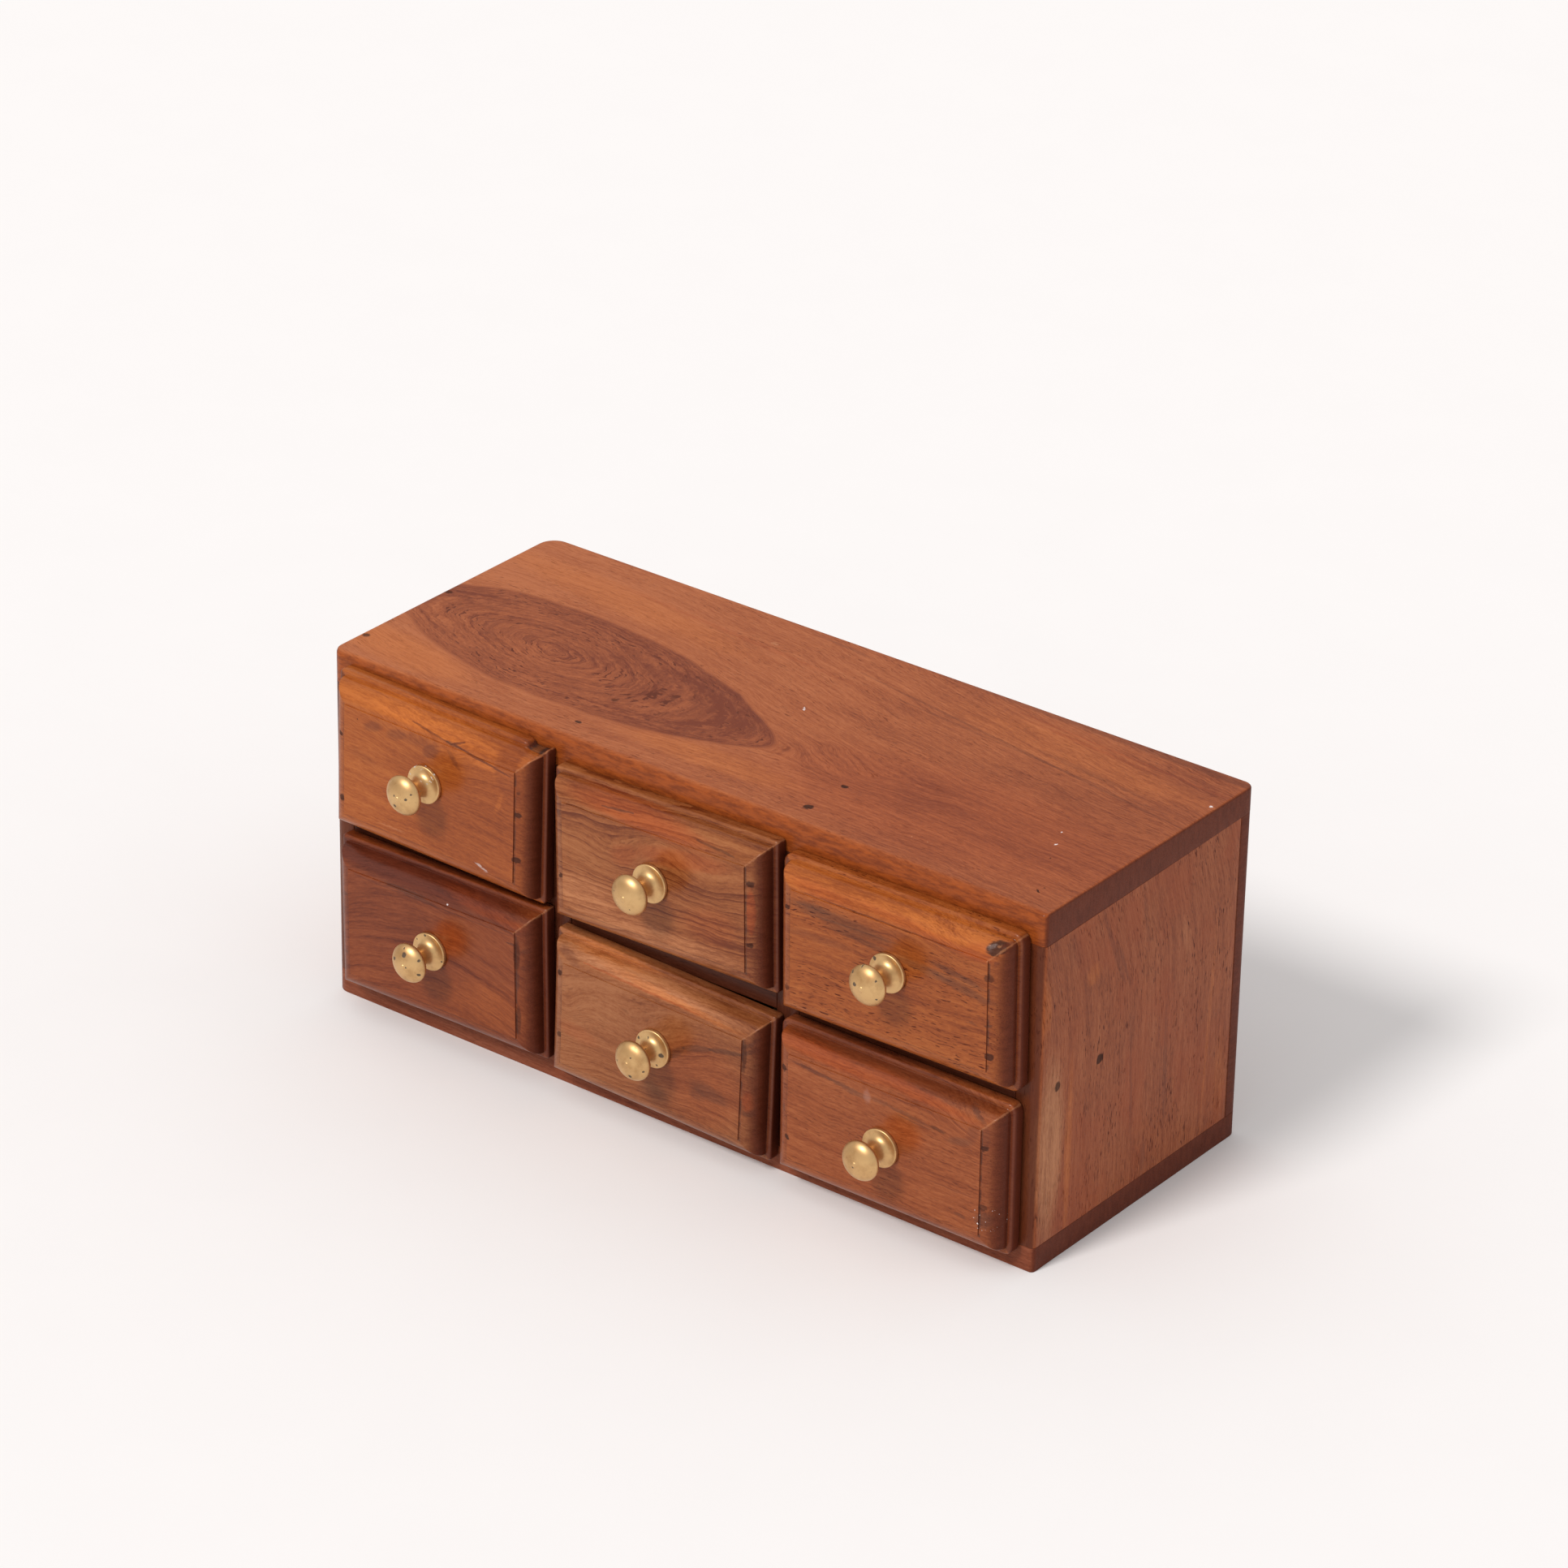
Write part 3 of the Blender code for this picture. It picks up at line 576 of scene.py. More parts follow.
# The top's dark eye: its middle, tilt, half length, half width, and how much farther it reaches right
EYE_X, EYE_Y, EYE_TILT, EYE_LONG, EYE_WIDE, EYE_SKEW = -90.0, -11.3, 0.087, 89.0, 26.5, 0.138
# The ringed core in it, and the share of the eye's rings that the core holds
CORE_LONG, CORE_WIDE, CORE_SKEW, CORE_SHARE = 50.0, 18.0, 0.06, 0.66
# The faint second eye
SECOND_X, SECOND_Y, SECOND_LONG, SECOND_WIDE = 50.0, -17.5, 34.0, 15.0
GRAIN_SWELL = 27.0                        # how far the straight grain bends round the eye


def top_wood(colours):
    """The figured top: a long dark eye of rings at the left, a faint one beside it, straight grain behind,
    painted sheen at the left.
    """
    wood = Wood("figured_top_wood", colours, tuple(colours.top), *GRAIN_RUNS["lengthways"])
    x, y, z = wood.place
    wx, wy = wood.warp(wood.place, 24.0, 2.4, 11.0)
    dx = wx - EYE_X
    dy = wy - EYE_Y + dx * EYE_TILT
    width = (dy * dy + 16.0) ** 0.5
    reach = (abs(dx) - dx * EYE_SKEW) / EYE_LONG
    outer = (width - 2.6) / EYE_WIDE + reach ** 2.4
    long_in, wide_in = (abs(dx) + dx * CORE_SKEW) / CORE_LONG, (width - 2.0) / CORE_WIDE
    inner = (long_in ** 1.7 + wide_in ** 1.5) ** 0.6
    outside_inner = wood.positive(inner - 1.0)
    share = outside_inner / (outside_inner + wood.positive(1.0 - outer) * 2.2 + 0.001)
    eye = wood.ease(outer, 1.05, 0.97)
    core = wood.ease(inner, 1.04, 0.98)
    lens = inner * CORE_SHARE * core + (1.0 - core) * (CORE_SHARE + share * (1.0 - CORE_SHARE))
    swell = wood.node("ShaderNodeMath", {"operation": "EXPONENT"}, ((dx + 2.0) * (dx + 2.0) / -7200.0,))
    bent = swell * GRAIN_SWELL * (dy / width) / (dy * dy / 3200.0 + 1.0)
    fan = wood.positive(wx + 20.0) * wood.ease(wy, -30.0, 30.0) * 0.11
    dx2, dy2 = (wx - SECOND_X) / SECOND_LONG, (wy - SECOND_Y) / SECOND_WIDE
    second = (dx2 * dx2 + dy2 * dy2) ** 0.5
    near = wood.ease(second, 1.2, 0.7) * (1.0 - eye)
    ripple = wood.noise((wx, wy, z), (5.0, 2.2, 3.0), 14.0, 2.0)
    field = lens * 27.0 * eye + (1.0 - eye) * (dy - bent + fan + near * (1.0 - second) * 9.0)
    field = field + (ripple - 0.5) * 1.8 * eye
    ring_shade = 0.16 + eye * 0.9 + near * 0.4
    tone, fibre, pore = wood.grain(field, 21.0, (1.9, 0.9), 0.30, 0.8, ring_shade)
    rim = eye * (1.0 - core)
    upper = wood.ease(dy, -6.0, 10.0) * rim
    tip = wood.ease(dx, 36.0, 80.0) * rim
    seam = wood.ease(abs(inner - 1.0), 0.05, 0.01) * wood.ease(dx, 10.0, 40.0) * eye
    tone = tone + eye * 0.40 + upper * 0.12 + tip * 0.06 + seam * 0.10 + near * 0.10
    # Painted sheen and shade: the top is lighter to the left and darker to the right, as the light falls on
    # it.
    tone = tone + wx / 150.0 * 0.24 - 0.02
    base = wood.colour_of(tone, pore + eye * pore)
    base, filler = wood.lay_marks(base, tone, TOP_MARKS, x, y, 5.0)
    front_edge = wood.ease(wood.facing((0, 1, 0)), 0.25, 0.8) * wood.ease(y, 0.0, -20.0)
    mottle = wood.noise(wood.place, (7.0, 2.5, 1.4), 2.0, 4.0, 0.7)
    edge_tint = wood.mix(wood.ease(mottle, 0.36, 0.66), shaded(colours.drawer_3, 1.12, 1.0, 0.8),
                         shaded(colours.drawer_3, 0.55, 0.42, 0.36))
    base = wood.mix(front_edge * 0.85, base, edge_tint)
    base, ends = wood.end_grain(base, 1.0)
    return wood.varnish(base, fibre, pore, ends, filler, gloss=0.46, coat=0.26)


def side_wood(colours):
    """Upright grain with dark flecks, fillings over the shelf's nails, a tan patch low at the front, painted
    shade on the front edge.
    """
    wood = Wood("upright_side_wood", colours, tuple(colours.side), *GRAIN_RUNS["upright_side"])
    z, y, x = wood.place
    slant = wood.ease(z, 70.0, 125.0) * 0.42
    field = y + slant * (z - 70.0) * 0.45
    tone, fibre, pore = wood.grain(field, 41.0, (4.2, 0.22), 0.4, 1.5)
    red = wood.ease(wood.noise(wood.place, (30.0, 18.0, 18.0), 8.0, 2.0), 0.42, 0.68)
    base = wood.mix(red * 0.35, wood.colour_of(tone, pore), colours.ember)
    base, filler = wood.lay_marks(base, tone, SIDE_MARKS, y, z, 6.0)
    base, ends = wood.end_grain(base, 2.0)
    # Painted shade: the front edge, which shows in the gaps beside the drawers, is darkened toward the inner
    # colour.
    front_edge = wood.ease(wood.facing((0, 1, 0)), 0.4, 0.9)
    base = wood.mix(front_edge * 0.8, base, shaded(colours.inner, 0.9, 0.8, 0.75))
    return wood.varnish(base, fibre, pore, ends, filler, gloss=0.48, coat=0.24)


def plain_wood(name, colours, body, run, seed, coat=0.25, gloss=0.46, bend=0.0):
    """Straight-grained wood for a board without a drawn figure of its own."""
    wood = Wood(name, colours, tuple(getattr(colours, body)), *GRAIN_RUNS[run])
    along, across, deep = wood.place
    field = across + deep * 0.6 + along * 0.03 + along * along * bend
    tone, fibre, pore = wood.grain(field, seed, (3.4, 0.5), 0.6, 0.6)
    base, ends = wood.end_grain(wood.colour_of(tone, pore), seed)
    return wood.varnish(base, fibre, pore, ends, gloss=gloss, coat=coat)


def front_wood(number, shape, colours):
    """A drawer front's own board, with its figure, its brads, its marks, painted shade to the right and a
    painted mitre highlight.
    """
    look = FRONT_LOOKS[number]
    c, s = cos(shape.lean), sin(shape.lean)
    x0, z0 = shape.centre[0] / MM, shape.centre[1] / MM
    wood = Wood(
        f"front_wood_{number}", colours, tuple(getattr(colours, f"drawer_{number}")),
        lambda x, y, z: ((x - x0) * c + (z - z0) * s, (z - z0) * c - (x - x0) * s, y - FRONT_Y / MM),
        (c, 0.0, s),
    )
    u, v, deep = wood.place
    wu, wv = wood.warp(wood.place, 22.0, 2.2, number * 3.7)
    field = wv + wu * look["slope"] + wu * wu * look["bend"] + deep * 0.35
    for whorl in look["whorls"]:
        du, dv = (wu - whorl.u) / whorl.long, (wv - whorl.v) / whorl.wide
        hump = wood.node("ShaderNodeMath", {"operation": "EXPONENT"}, ((du * du + dv * dv) * -1.0,))
        field = field + hump * (whorl.rings * look["rings"][0])
    tone, fibre, pore = wood.grain(field, number * 13.7, look["rings"], look["streak"], look["pores"])
    # Painted shade: the tone darkens across the front to the right, by the look's shade.
    base = wood.colour_of(tone + u * (look["shade"] / 40.0), pore)
    base, filler = wood.lay_marks(base, tone, look["marks"], u, v, number * 1.7)
    base, ends = wood.end_grain(base, number * 5.1)
    half_u, half_v, border = shape.width / MM / 2, shape.height / MM / 2, shape.border / MM
    from_end, from_top = half_u - abs(u), half_v - abs(v)
    worn = wood.noise(wood.place, (1.8, 1.8, 1.8), number * 2.9, 3.0, 0.65)

    # Darker line along the seam between the field and its border, darkest at the right
    beside = wood.ease(abs(from_end - border + 0.1), 0.45, 0.12) * wood.ease(from_top, border - 0.6, border)
    under = wood.ease(abs(half_v + v - border + 0.1), 0.4, 0.1) * wood.ease(from_end, border - 0.6, border)
    seam = beside * (wood.ease(u, -1.0, 1.0) * 0.4 + 0.25) + under * 0.25
    uneven = wood.noise(wood.place, (8.0, 4.0, 8.0), number * 4.3, 2.0)
    base = wood.mix(seam * wood.ease(uneven, 0.32, 0.6), base, colours.filler)

    # Grime on the end mouldings
    grime = wood.ease(from_end + (worn - 0.5) * 1.5, 3.2, 1.6) * 0.55 + wood.ease(from_end, 8.6, 7.6) * 0.22
    base = wood.mix(grime * wood.ease(from_end - from_top, 1.0, -0.5), base, colours.stain)

    # Painted highlight along the worn mitre ridge at the top right corner
    outside = wood.ease(from_end, 9.4, 8.4) * wood.ease(from_top, 9.4, 8.4)
    mitre_highlight = wood.ease(abs(from_end - from_top) + (worn - 0.5) * 2.0, 0.7, 0.1) * outside
    base = wood.mix(mitre_highlight * wood.ease(v, 0.0, 10.0) * wood.ease(u, 0.0, 10.0) * 0.30, base, colours.pale)
    if "dust" in look:
        du, dv, size = look["dust"]
        grit = wood.noise(wood.place, (0.55, 0.55, 0.55), 3.0, 0.0)
        near = wood.ease((u - du) ** 2.0 + (v - dv) ** 2.0, size ** 2, size ** 2 * 0.2)
        base = wood.mix(wood.ease(grit, 0.80, 0.84) * near, base, colours.dust)
    return wood.varnish(base, fibre, pore, ends, filler, gloss=0.40, coat=0.42)


# Pits in each knob, from its axis in mm: right, up and size
HEAD_PITS = {
    1: ((-1.2, 0.9, 0.4), (3.5, 0.7, 0.5), (-1.3, -3.1, 0.65), (5.0, 2.6, 0.3)),
    2: ((-4.6, 1.2, 0.25), (2.4, -3.6, 0.25)),
    3: ((-2.8, 0.7, 0.8), (-4.9, 4.0, 0.55), (-1.6, 6.7, 0.35), (4.6, 3.7, 0.35), (5.2, -2.6, 0.35)),
    4: ((0.1, 4.2, 0.95), (-4.4, 1.4, 0.7), (-0.7, 6.1, 0.35), (5.5, 3.3, 0.5), (5.7, -1.9, 0.6),
        (1.4, 0.1, 0.35)),
    5: ((0.9, -4.5, 0.65), (-4.7, -0.4, 0.4), (5.9, -1.4, 0.4), (1.5, 2.9, 0.35)),
    6: ((-0.4, -1.0, 0.4),),
}
FLANGE_PITS = {
    3: ((-4.7, 4.1, 0.8),),
    4: ((-1.2, 6.1, 0.5), (-4.9, 3.5, 0.35), (6.1, -1.6, 0.4)),
    5: ((-5.5, 2.6, 0.55), (-1.0, 4.4, 0.35), (4.6, -0.5, 0.8), (2.4, -5.2, 0.4)),
}
PIT_TINT, CRUST_TINT, RUST_TINT = (0.045, 0.030, 0.022), (0.55, 0.52, 0.50), (0.10, 0.045, 0.025)


def brass_metal(number, axis, colours):
    """Satin brass with turning lines, a thin brown film, small dark pits and a painted dark reflection high
    on the head.
    """
    finish = Finish(f"satin_brass_{number}")
    x, y, z = finish.place_mm()
    place = (x, y, z)
    dx, dz = x - axis[0] / MM, z - axis[1] / MM
    radius = (dx * dx + dz * dz) ** 0.5
    seed = number * 4.1
    lathe = finish.noise((radius * 9.0, y * 9.0, x * 0.0), (1.0, 1.0, 1.0), seed, 2.0)
    film = finish.ease(finish.noise(place, (5.0, 5.0, 5.0), seed, 4.0, 0.6), 0.42, 0.75)
    grime = finish.ease(finish.noise(place, (1.1, 1.1, 1.1), seed + 2.0, 3.0, 0.7), 0.60, 0.78)
    rag_x = dx + (finish.noise(place, (1.1, 1.1, 1.1), seed + 5.0, 2.0) - 0.5) * 0.7
    rag_z = dz + (finish.noise(place, (1.1, 1.1, 1.1), seed + 6.0, 2.0) - 0.5) * 0.7
    on_head = finish.ease(y, -75.0, -80.5)

    def pitted(pits):
        offsets = [(rag_x - right, rag_z - up, size ** 2) for right, up, size in pits]
        return sum(finish.ease(u * u + v * v, area * 1.3, area * 0.5) for u, v, area in offsets)

    pits = pitted(HEAD_PITS[number]) * on_head + pitted(FLANGE_PITS.get(number, ())) * (1.0 - on_head)
    # Painted reflection: a dark crescent above and left of each head's highlight, where the brass mirrors a
    # dark room.
    dark_reflection = finish.ease(dz - dx * 0.5, -0.5, 5.5) * finish.ease(radius, 7.6, 4.6) * on_head
    base = finish.mix(film * 0.42 + dark_reflection * 0.42, colours.brass, colours.tarnish)
    base = finish.mix(grime * 0.30, base, shaded(colours.tarnish, 0.7, 0.6, 0.55))
    base = finish.mix(pits * 0.9, base, PIT_TINT)
    if number == 1:
        scale = finish.noise(place, (1.6, 1.6, 1.6), 8.0, 1.0)
        high_on_flange = finish.ease(y, -75.5, -74.5) * finish.ease(z, 103.0, 105.5)
        crust = finish.ease(scale, 0.66, 0.70) * high_on_flange
        base = finish.mix(crust, base, CRUST_TINT)
        pits = pits + crust
    bump = finish.node("ShaderNodeBump", None, {
        "Strength": 0.4, "Distance": 0.00012, "Height": lathe * 0.10 + film * 0.12 - pits * 1.2})
    return finish.finish({
        "Base Color": base,
        "Metallic": 1.0 - pits * 0.85,
        "Roughness": 0.40 + film * 0.10 + grime * 0.12 + pits * 0.3 + (lathe - 0.5) * 0.08,
        "Normal": bump,
    })


def steel_metal(colours):
    """Dull iron of the nails and screws, a little rusty."""
    finish = Finish("dull_steel")
    place = finish.place_mm()
    rust = finish.ease(finish.noise(place, (1.4, 1.4, 1.4), 2.0, 4.0, 0.7), 0.45, 0.65)
    base = finish.mix(rust * 0.7, colours.steel, RUST_TINT)
    bump = finish.node("ShaderNodeBump", None, {"Strength": 0.4, "Distance": 0.0001, "Height": rust})
    return finish.finish({
        "Base Color": base, "Metallic": 1.0 - rust * 0.6, "Roughness": 0.42 + rust * 0.3, "Normal": bump})


# ---------------------------------------------------------------- meshes

def piece_from(bm, name, smooth_below):
    """A bmesh as an object, smooth wherever its faces turn by less than an angle."""
    bmesh.ops.recalc_face_normals(bm, faces=bm.faces)
    mesh = bpy.data.meshes.new(name)
    bm.to_mesh(mesh)
    bm.free()
    mesh.shade_smooth()
    mesh.set_sharp_from_angle(angle=smooth_below)
    obj = bpy.data.objects.new(name, mesh)
    bpy.context.scene.collection.objects.link(obj)
    return obj


def skin(name, rings, smooth_below=radians(32)):
    """One closed mesh from rings of points, each joined to the next, with the end rings filled."""
    bm = bmesh.new()
    loops = [[bm.verts.new(point) for point in ring] for ring in rings]
    count = len(loops[0])
    for lower, upper in zip(loops, loops[1:]):
        for i in range(count):
            j = (i + 1) % count
            bm.faces.new((lower[i], lower[j], upper[j], upper[i]))
    bm.faces.new(reversed(loops[0]))
    bm.faces.new(loops[-1])
    return piece_from(bm, name, smooth_below)


def drift(point, size, seed):
    """A slow wander from 0 to 1 that stands for handwork."""
    return noise.noise(Vector(point) / size + Vector((seed, 0.0, 0.0))) * 0.5 + 0.5


CORNER_ORDER = ((1, -1), (1, 1), (-1, 1), (-1, -1))
CORNER_STEPS = 8
HOLD = 0.4 * MM                           # a ring this far inside an edge rounding keeps the face flat


def plan_outline(low, high, corners, step):
    """Points, outward directions and room for an edge rounding, round a board's plan."""
    arcs = []
    for place, (side_x, side_y) in enumerate(CORNER_ORDER):
        radius = corners.get((side_x, side_y), 0.4 * MM)
        centre = Vector(((high.x if side_x > 0 else low.x) - side_x * radius,
                         (high.y if side_y > 0 else low.y) - side_y * radius))
        outs = [(cos(a), sin(a)) for a in
                ((place - 1 + i / CORNER_STEPS) * pi / 2 for i in range(CORNER_STEPS + 1))]
        arcs.append([(centre + Vector(out) * radius, Vector(out), radius) for out in outs])
    outline = []
    for arc, following in zip(arcs, arcs[1:] + arcs[:1]):
        outline += arc
        start, out, radius = arc[-1]
        end, _, next_radius = following[0]
        run = (end - start).length
        pieces = max(1, round(run / step))
        for i in range(1, pieces):
            t = run * i / pieces
            room = min(radius + 0.3 * t, next_radius + 0.3 * (run - t))
            outline.append((start.lerp(end, i / pieces), out, room))
    return outline


def rounded_board(name, low, high, corners, edges, front_top_edge=None, drops=(0.0, 0.0),
                  steps=5, step=4 * MM):
    """A board with rounded upright corners and softened edges, planed by hand.

    edges are the roundings under and over the board; drops lower its under and upper face at the front.
    """
    outline = plan_outline(low, high, corners, step)

    def ring(rise, top):
        """The ring at one angle of the edge rounding; rise 0 is the face and 1 the board's side."""
        points = []
        for place, out, room in outline:
            wanted = edges[top]
            if top and front_top_edge:
                wanted += (front_top_edge - wanted) * max(0.0, -out.y) ** 2
            radius = min(wanted, room * 0.9)
            if rise is None:
                inset, depth = min(radius + HOLD, room * 0.98), 0.0
            else:
                angle = rise * pi / 2
                inset, depth = radius * (1 - sin(angle)), radius * (1 - cos(angle))
            wander = 0.10 * MM * drift((*place, low.z), 30 * MM, 3.0)
            flat = place - out * (inset + wander)
            drop = drops[top] * (high.y - flat.y) / (high.y - low.y)
            points.append((flat.x, flat.y, high.z - depth - drop if top else low.z + depth - drop))
        return points

    angles = [i / steps for i in range(steps + 1)]
    rings = [ring(None, False)] + [ring(a, False) for a in angles]
    rings += [ring(a, True) for a in reversed(angles)] + [ring(None, True)]
    return skin(name, rings)


FrontShape = namedtuple("FrontShape", "centre width height lean border")


def measure_front(number, shapes):
    """A drawer front's lip, measured on the frame: its centre, size and lean, and the field's border."""
    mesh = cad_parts[f"drawer_{number}_front"].data
    reach = shapes.lip_proud - 0.3 * MM
    on_lip = [-reach < v.co.y - FRONT_Y < -0.1 * MM for v in mesh.vertices]
    runs = [
        mesh.vertices[edge.vertices[1]].co - mesh.vertices[edge.vertices[0]].co
        for edge in mesh.edges if on_lip[edge.vertices[0]] and on_lip[edge.vertices[1]]
    ]
    longest = max(runs, key=lambda run: abs(run.x))
    lean = atan2(longest.z, longest.x) if longest.x > 0 else atan2(-longest.z, -longest.x)
    turn = np.array(((cos(lean), sin(lean)), (-sin(lean), cos(lean))))
    flat = np.array([(v.co.x, v.co.z) for v, found in zip(mesh.vertices, on_lip) if found]) @ turn.T
    low, high = flat.min(axis=0), flat.max(axis=0)
    centre = turn.T @ ((low + high) / 2)
    border = shapes.fillet_width + shapes.ovolo_width
    return FrontShape(tuple(centre), *(high - low), lean, border)


SIDE_COUNTS = (72, 44, 72, 44)            # points along the top, left, bottom and right of a front's ring
FRONT_CORNER_STEPS = 8


def rectangle_ring(width, height, radius):
    """Points (u, v) round a rectangle with round corners; every ring of a front has as many."""
    points = []
    for quarter, (side_u, side_v) in enumerate(((1, 1), (-1, 1), (-1, -1), (1, -1))):
        corner = (side_u * (width / 2 - radius), side_v * (height / 2 - radius))
        for i in range(FRONT_CORNER_STEPS + 1):
            angle = (quarter + i / FRONT_CORNER_STEPS) * pi / 2
            points.append((corner[0] + radius * cos(angle), corner[1] + radius * sin(angle)))
        next_u, next_v = ((-1, 1), (-1, -1), (1, -1), (1, 1))[quarter]
        angle = (quarter + 1) * pi / 2
        end = (next_u * (width / 2 - radius) + radius * cos(angle),
               next_v * (height / 2 - radius) + radius * sin(angle))
        start = points[-1]
        for i in range(1, SIDE_COUNTS[quarter]):
            t = i / SIDE_COUNTS[quarter]
            points.append((start[0] + (end[0] - start[0]) * t, start[1] + (end[1] - start[1]) * t))
    return points


def front_profile(shapes):
    """Inset from the lip's edge and height over the carcase face, from the lip's back to the field."""
    back, low, r = 0.35 * MM, 0.3 * MM, shapes.lip_round
    profile = [(back, low), (0.1 * MM, low + 0.1 * MM), (0.0, low + back)]
    for i in range(5):
        angle = i / 4 * pi / 2
        profile.append((r * (1 - cos(angle)), shapes.lip_proud - r + r * sin(angle)))
    fillet = shapes.fillet_width
    profile += [(fillet - 0.1 * MM, shapes.lip_proud), (fillet, shapes.lip_proud - 0.1 * MM),
                (fillet + 0.1 * MM, shapes.lip_proud), (fillet + 0.12 * MM, shapes.lip_proud + 0.3 * MM)]
    rise = 6.7 * MM
    steps = 14
    for i in range(1, steps + 1):
        angle = i / steps * pi / 2
        profile.append((fillet + 0.12 * MM + shapes.ovolo_width * (1 - cos(angle)),
                        shapes.lip_proud + 0.3 * MM + rise * sin(angle)))
    inner = fillet + 0.12 * MM + shapes.ovolo_width
    field = shapes.lip_proud + 0.3 * MM + rise + shapes.border_step
    profile += [(inner + 0.10 * MM, field - shapes.border_step), (inner + 0.16 * MM, field - 0.08 * MM),
                (inner + 0.24 * MM, field), (inner + HOLD, field)]
    return profile


def drawer_front(number, shape, shapes):
    """The lipped and moulded front with its core behind it, as one closed mesh."""
    look = FRONT_LOOKS[number]
    c, s = cos(shape.lean), sin(shape.lean)
    half_v = shape.height / 2
    chip_start, chip_end, chip_depth = (value * MM for value in look.get("chip", (0.0, 0.0, 0.0)))
    knot_u, knot_v, knot_size, knot_depth = (value * MM for value in look.get("knot", (0.0, 0.0, 1.0, 0.0)))
    chip_zone = 3.4 * MM

    def settle(u, v, proud):
        """Puts a point of the moulding in its place: handwork, the chip and the knot hole."""
        wander = 0.16 * MM
        u -= wander * (drift((u, v, proud), 24 * MM, number) - 0.5) * (1 if u > 0 else -1)
        v -= wander * (drift((v, u, proud), 24 * MM, number + 9.0) - 0.5) * (1 if v > 0 else -1)
        from_edge = half_v - v
        if chip_depth and chip_start < u < chip_end and from_edge < chip_zone:
            ragged = 0.7 + 0.6 * drift((u, 0.0, 0.0), 1.6 * MM, 4.0)
            ramp = min(1.0, (u - chip_start) / (0.5 * MM), (chip_end - u) / (1.5 * MM))
            depth = min(chip_depth * ragged * ramp, chip_zone * 0.8)
            v = half_v - depth - from_edge * (chip_zone - depth) / chip_zone
        if knot_depth:
            off = sqrt(((u - knot_u) / 1.9) ** 2 + (v - knot_v) ** 2) / knot_size
            if off < 2.5:
                ragged = 1 + 0.5 * drift((u, v, 0.0), 0.9 * MM, 2.0)
                proud -= knot_depth * ragged * max(0.0, 1 - off ** 2 / 2)
        return shape.centre[0] + u * c - v * s, FRONT_Y - proud, shape.centre[1] + u * s + v * c

    low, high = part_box(f"drawer_{number}_front")
    left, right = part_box(f"drawer_{number}_left_side"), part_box(f"drawer_{number}_right_side")
    core_w, core_h = right[1].x - left[0].x, left[1].z - left[0].z
    core_x, core_z = (left[0].x + right[1].x) / 2, (left[0].z + left[1].z) / 2
    core = []
    soft = shapes.board_edge_round
    for inset, deep in ((soft + HOLD, 0.0), (soft, 0.0), (soft * 0.3, soft * 0.3), (0.0, soft)):
        outline = rectangle_ring(core_w - 2 * inset, core_h - 2 * inset, 0.6 * MM)
        core.append([(core_x + u, high.y - deep, core_z + v) for u, v in outline])
    outline = rectangle_ring(core_w, core_h, 0.6 * MM)
    core.append([(core_x + u, FRONT_Y - 0.3 * MM, core_z + v) for u, v in outline])
    corner = look["corner"] * MM
    moulding = []
    for inset, proud in front_profile(shapes):
        radius = max(corner - 0.8 * inset, 0.25 * MM)
        outline = rectangle_ring(shape.width - 2 * inset, shape.height - 2 * inset, radius)
        moulding.append([settle(u, v, proud) for u, v in outline])
    return skin(f"moulded_front_{number}", core + moulding)


# Knob, as radius and height over the field in mm: the flange and bore, then the neck and head
FLANGE = ((0.0, 8.6), (1.6, 8.6), (1.6, 0.06), (6.7, 0.06), (6.95, 0.25), (6.95, 1.25), (6.83, 1.42))
NECK_AND_HEAD = (
    (6.5, 1.52), (5.8, 1.6), (5.0, 1.86), (4.2, 2.35), (3.55, 3.15), (3.2, 4.4), (3.1, 6.0), (3.5, 7.8),
    (4.9, 9.2), (6.5, 10.1), (7.18, 11.0), (6.85, 12.15), (5.6, 13.4), (3.6, 14.35), (1.5, 14.85),
)
CENTRE_MARK = ((1.0, 14.92), (0.8, 15.12), (0.0, 15.2))


def smooth_through(points, steps):
    """A curve through points, with so many steps from each to the next."""
    ends = [points[0], *points, points[-1]]
    curve = []
    for p0, p1, p2, p3 in zip(ends, ends[1:], ends[2:], ends[3:]):
        for i in range(steps):
            t = i / steps
            curve.append(tuple(
                b + 0.5 * t * (c - a + t * (2 * a - 5 * b + 4 * c - d + t * (3 * b - a - 3 * c + d)))
                for a, b, c, d in zip(p0, p1, p2, p3)))
    return curve + [points[-1]]


def turned_knob(number, axis, field_y, steps):
    """A knob turned from bar: flange, waist and mushroom head, bored for its screw."""
    profile = list(FLANGE) + smooth_through(NECK_AND_HEAD, 4) + list(CENTRE_MARK)
    bm = bmesh.new()
    loops = []
    for radius, height in profile:
        y = field_y - height * MM
        if radius == 0.0:
            loops.append([bm.verts.new((axis[0], y, axis[1]))])
        else:
            angles = [2 * pi * i / steps for i in range(steps)]
            loops.append([
                bm.verts.new((axis[0] + radius * MM * cos(a), y, axis[1] + radius * MM * sin(a)))
                for a in angles])
    for lower, upper in zip(loops, loops[1:]):
        for i in range(steps):
            j = (i + 1) % steps
            corners = [loop[k % len(loop)] for loop, k in ((lower, i), (lower, j), (upper, j), (upper, i))]
            bm.faces.new(list(dict.fromkeys(corners)))
    return piece_from(bm, f"brass_knob_{number}", radians(38))


# ---------------------------------------------------------------- operators

def stand_for(obj, node, body, material):
    """A finished piece takes its node's place, rides on its body and gets its finish."""
    obj.data.materials.append(material)
    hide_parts(node)
    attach(obj, body)


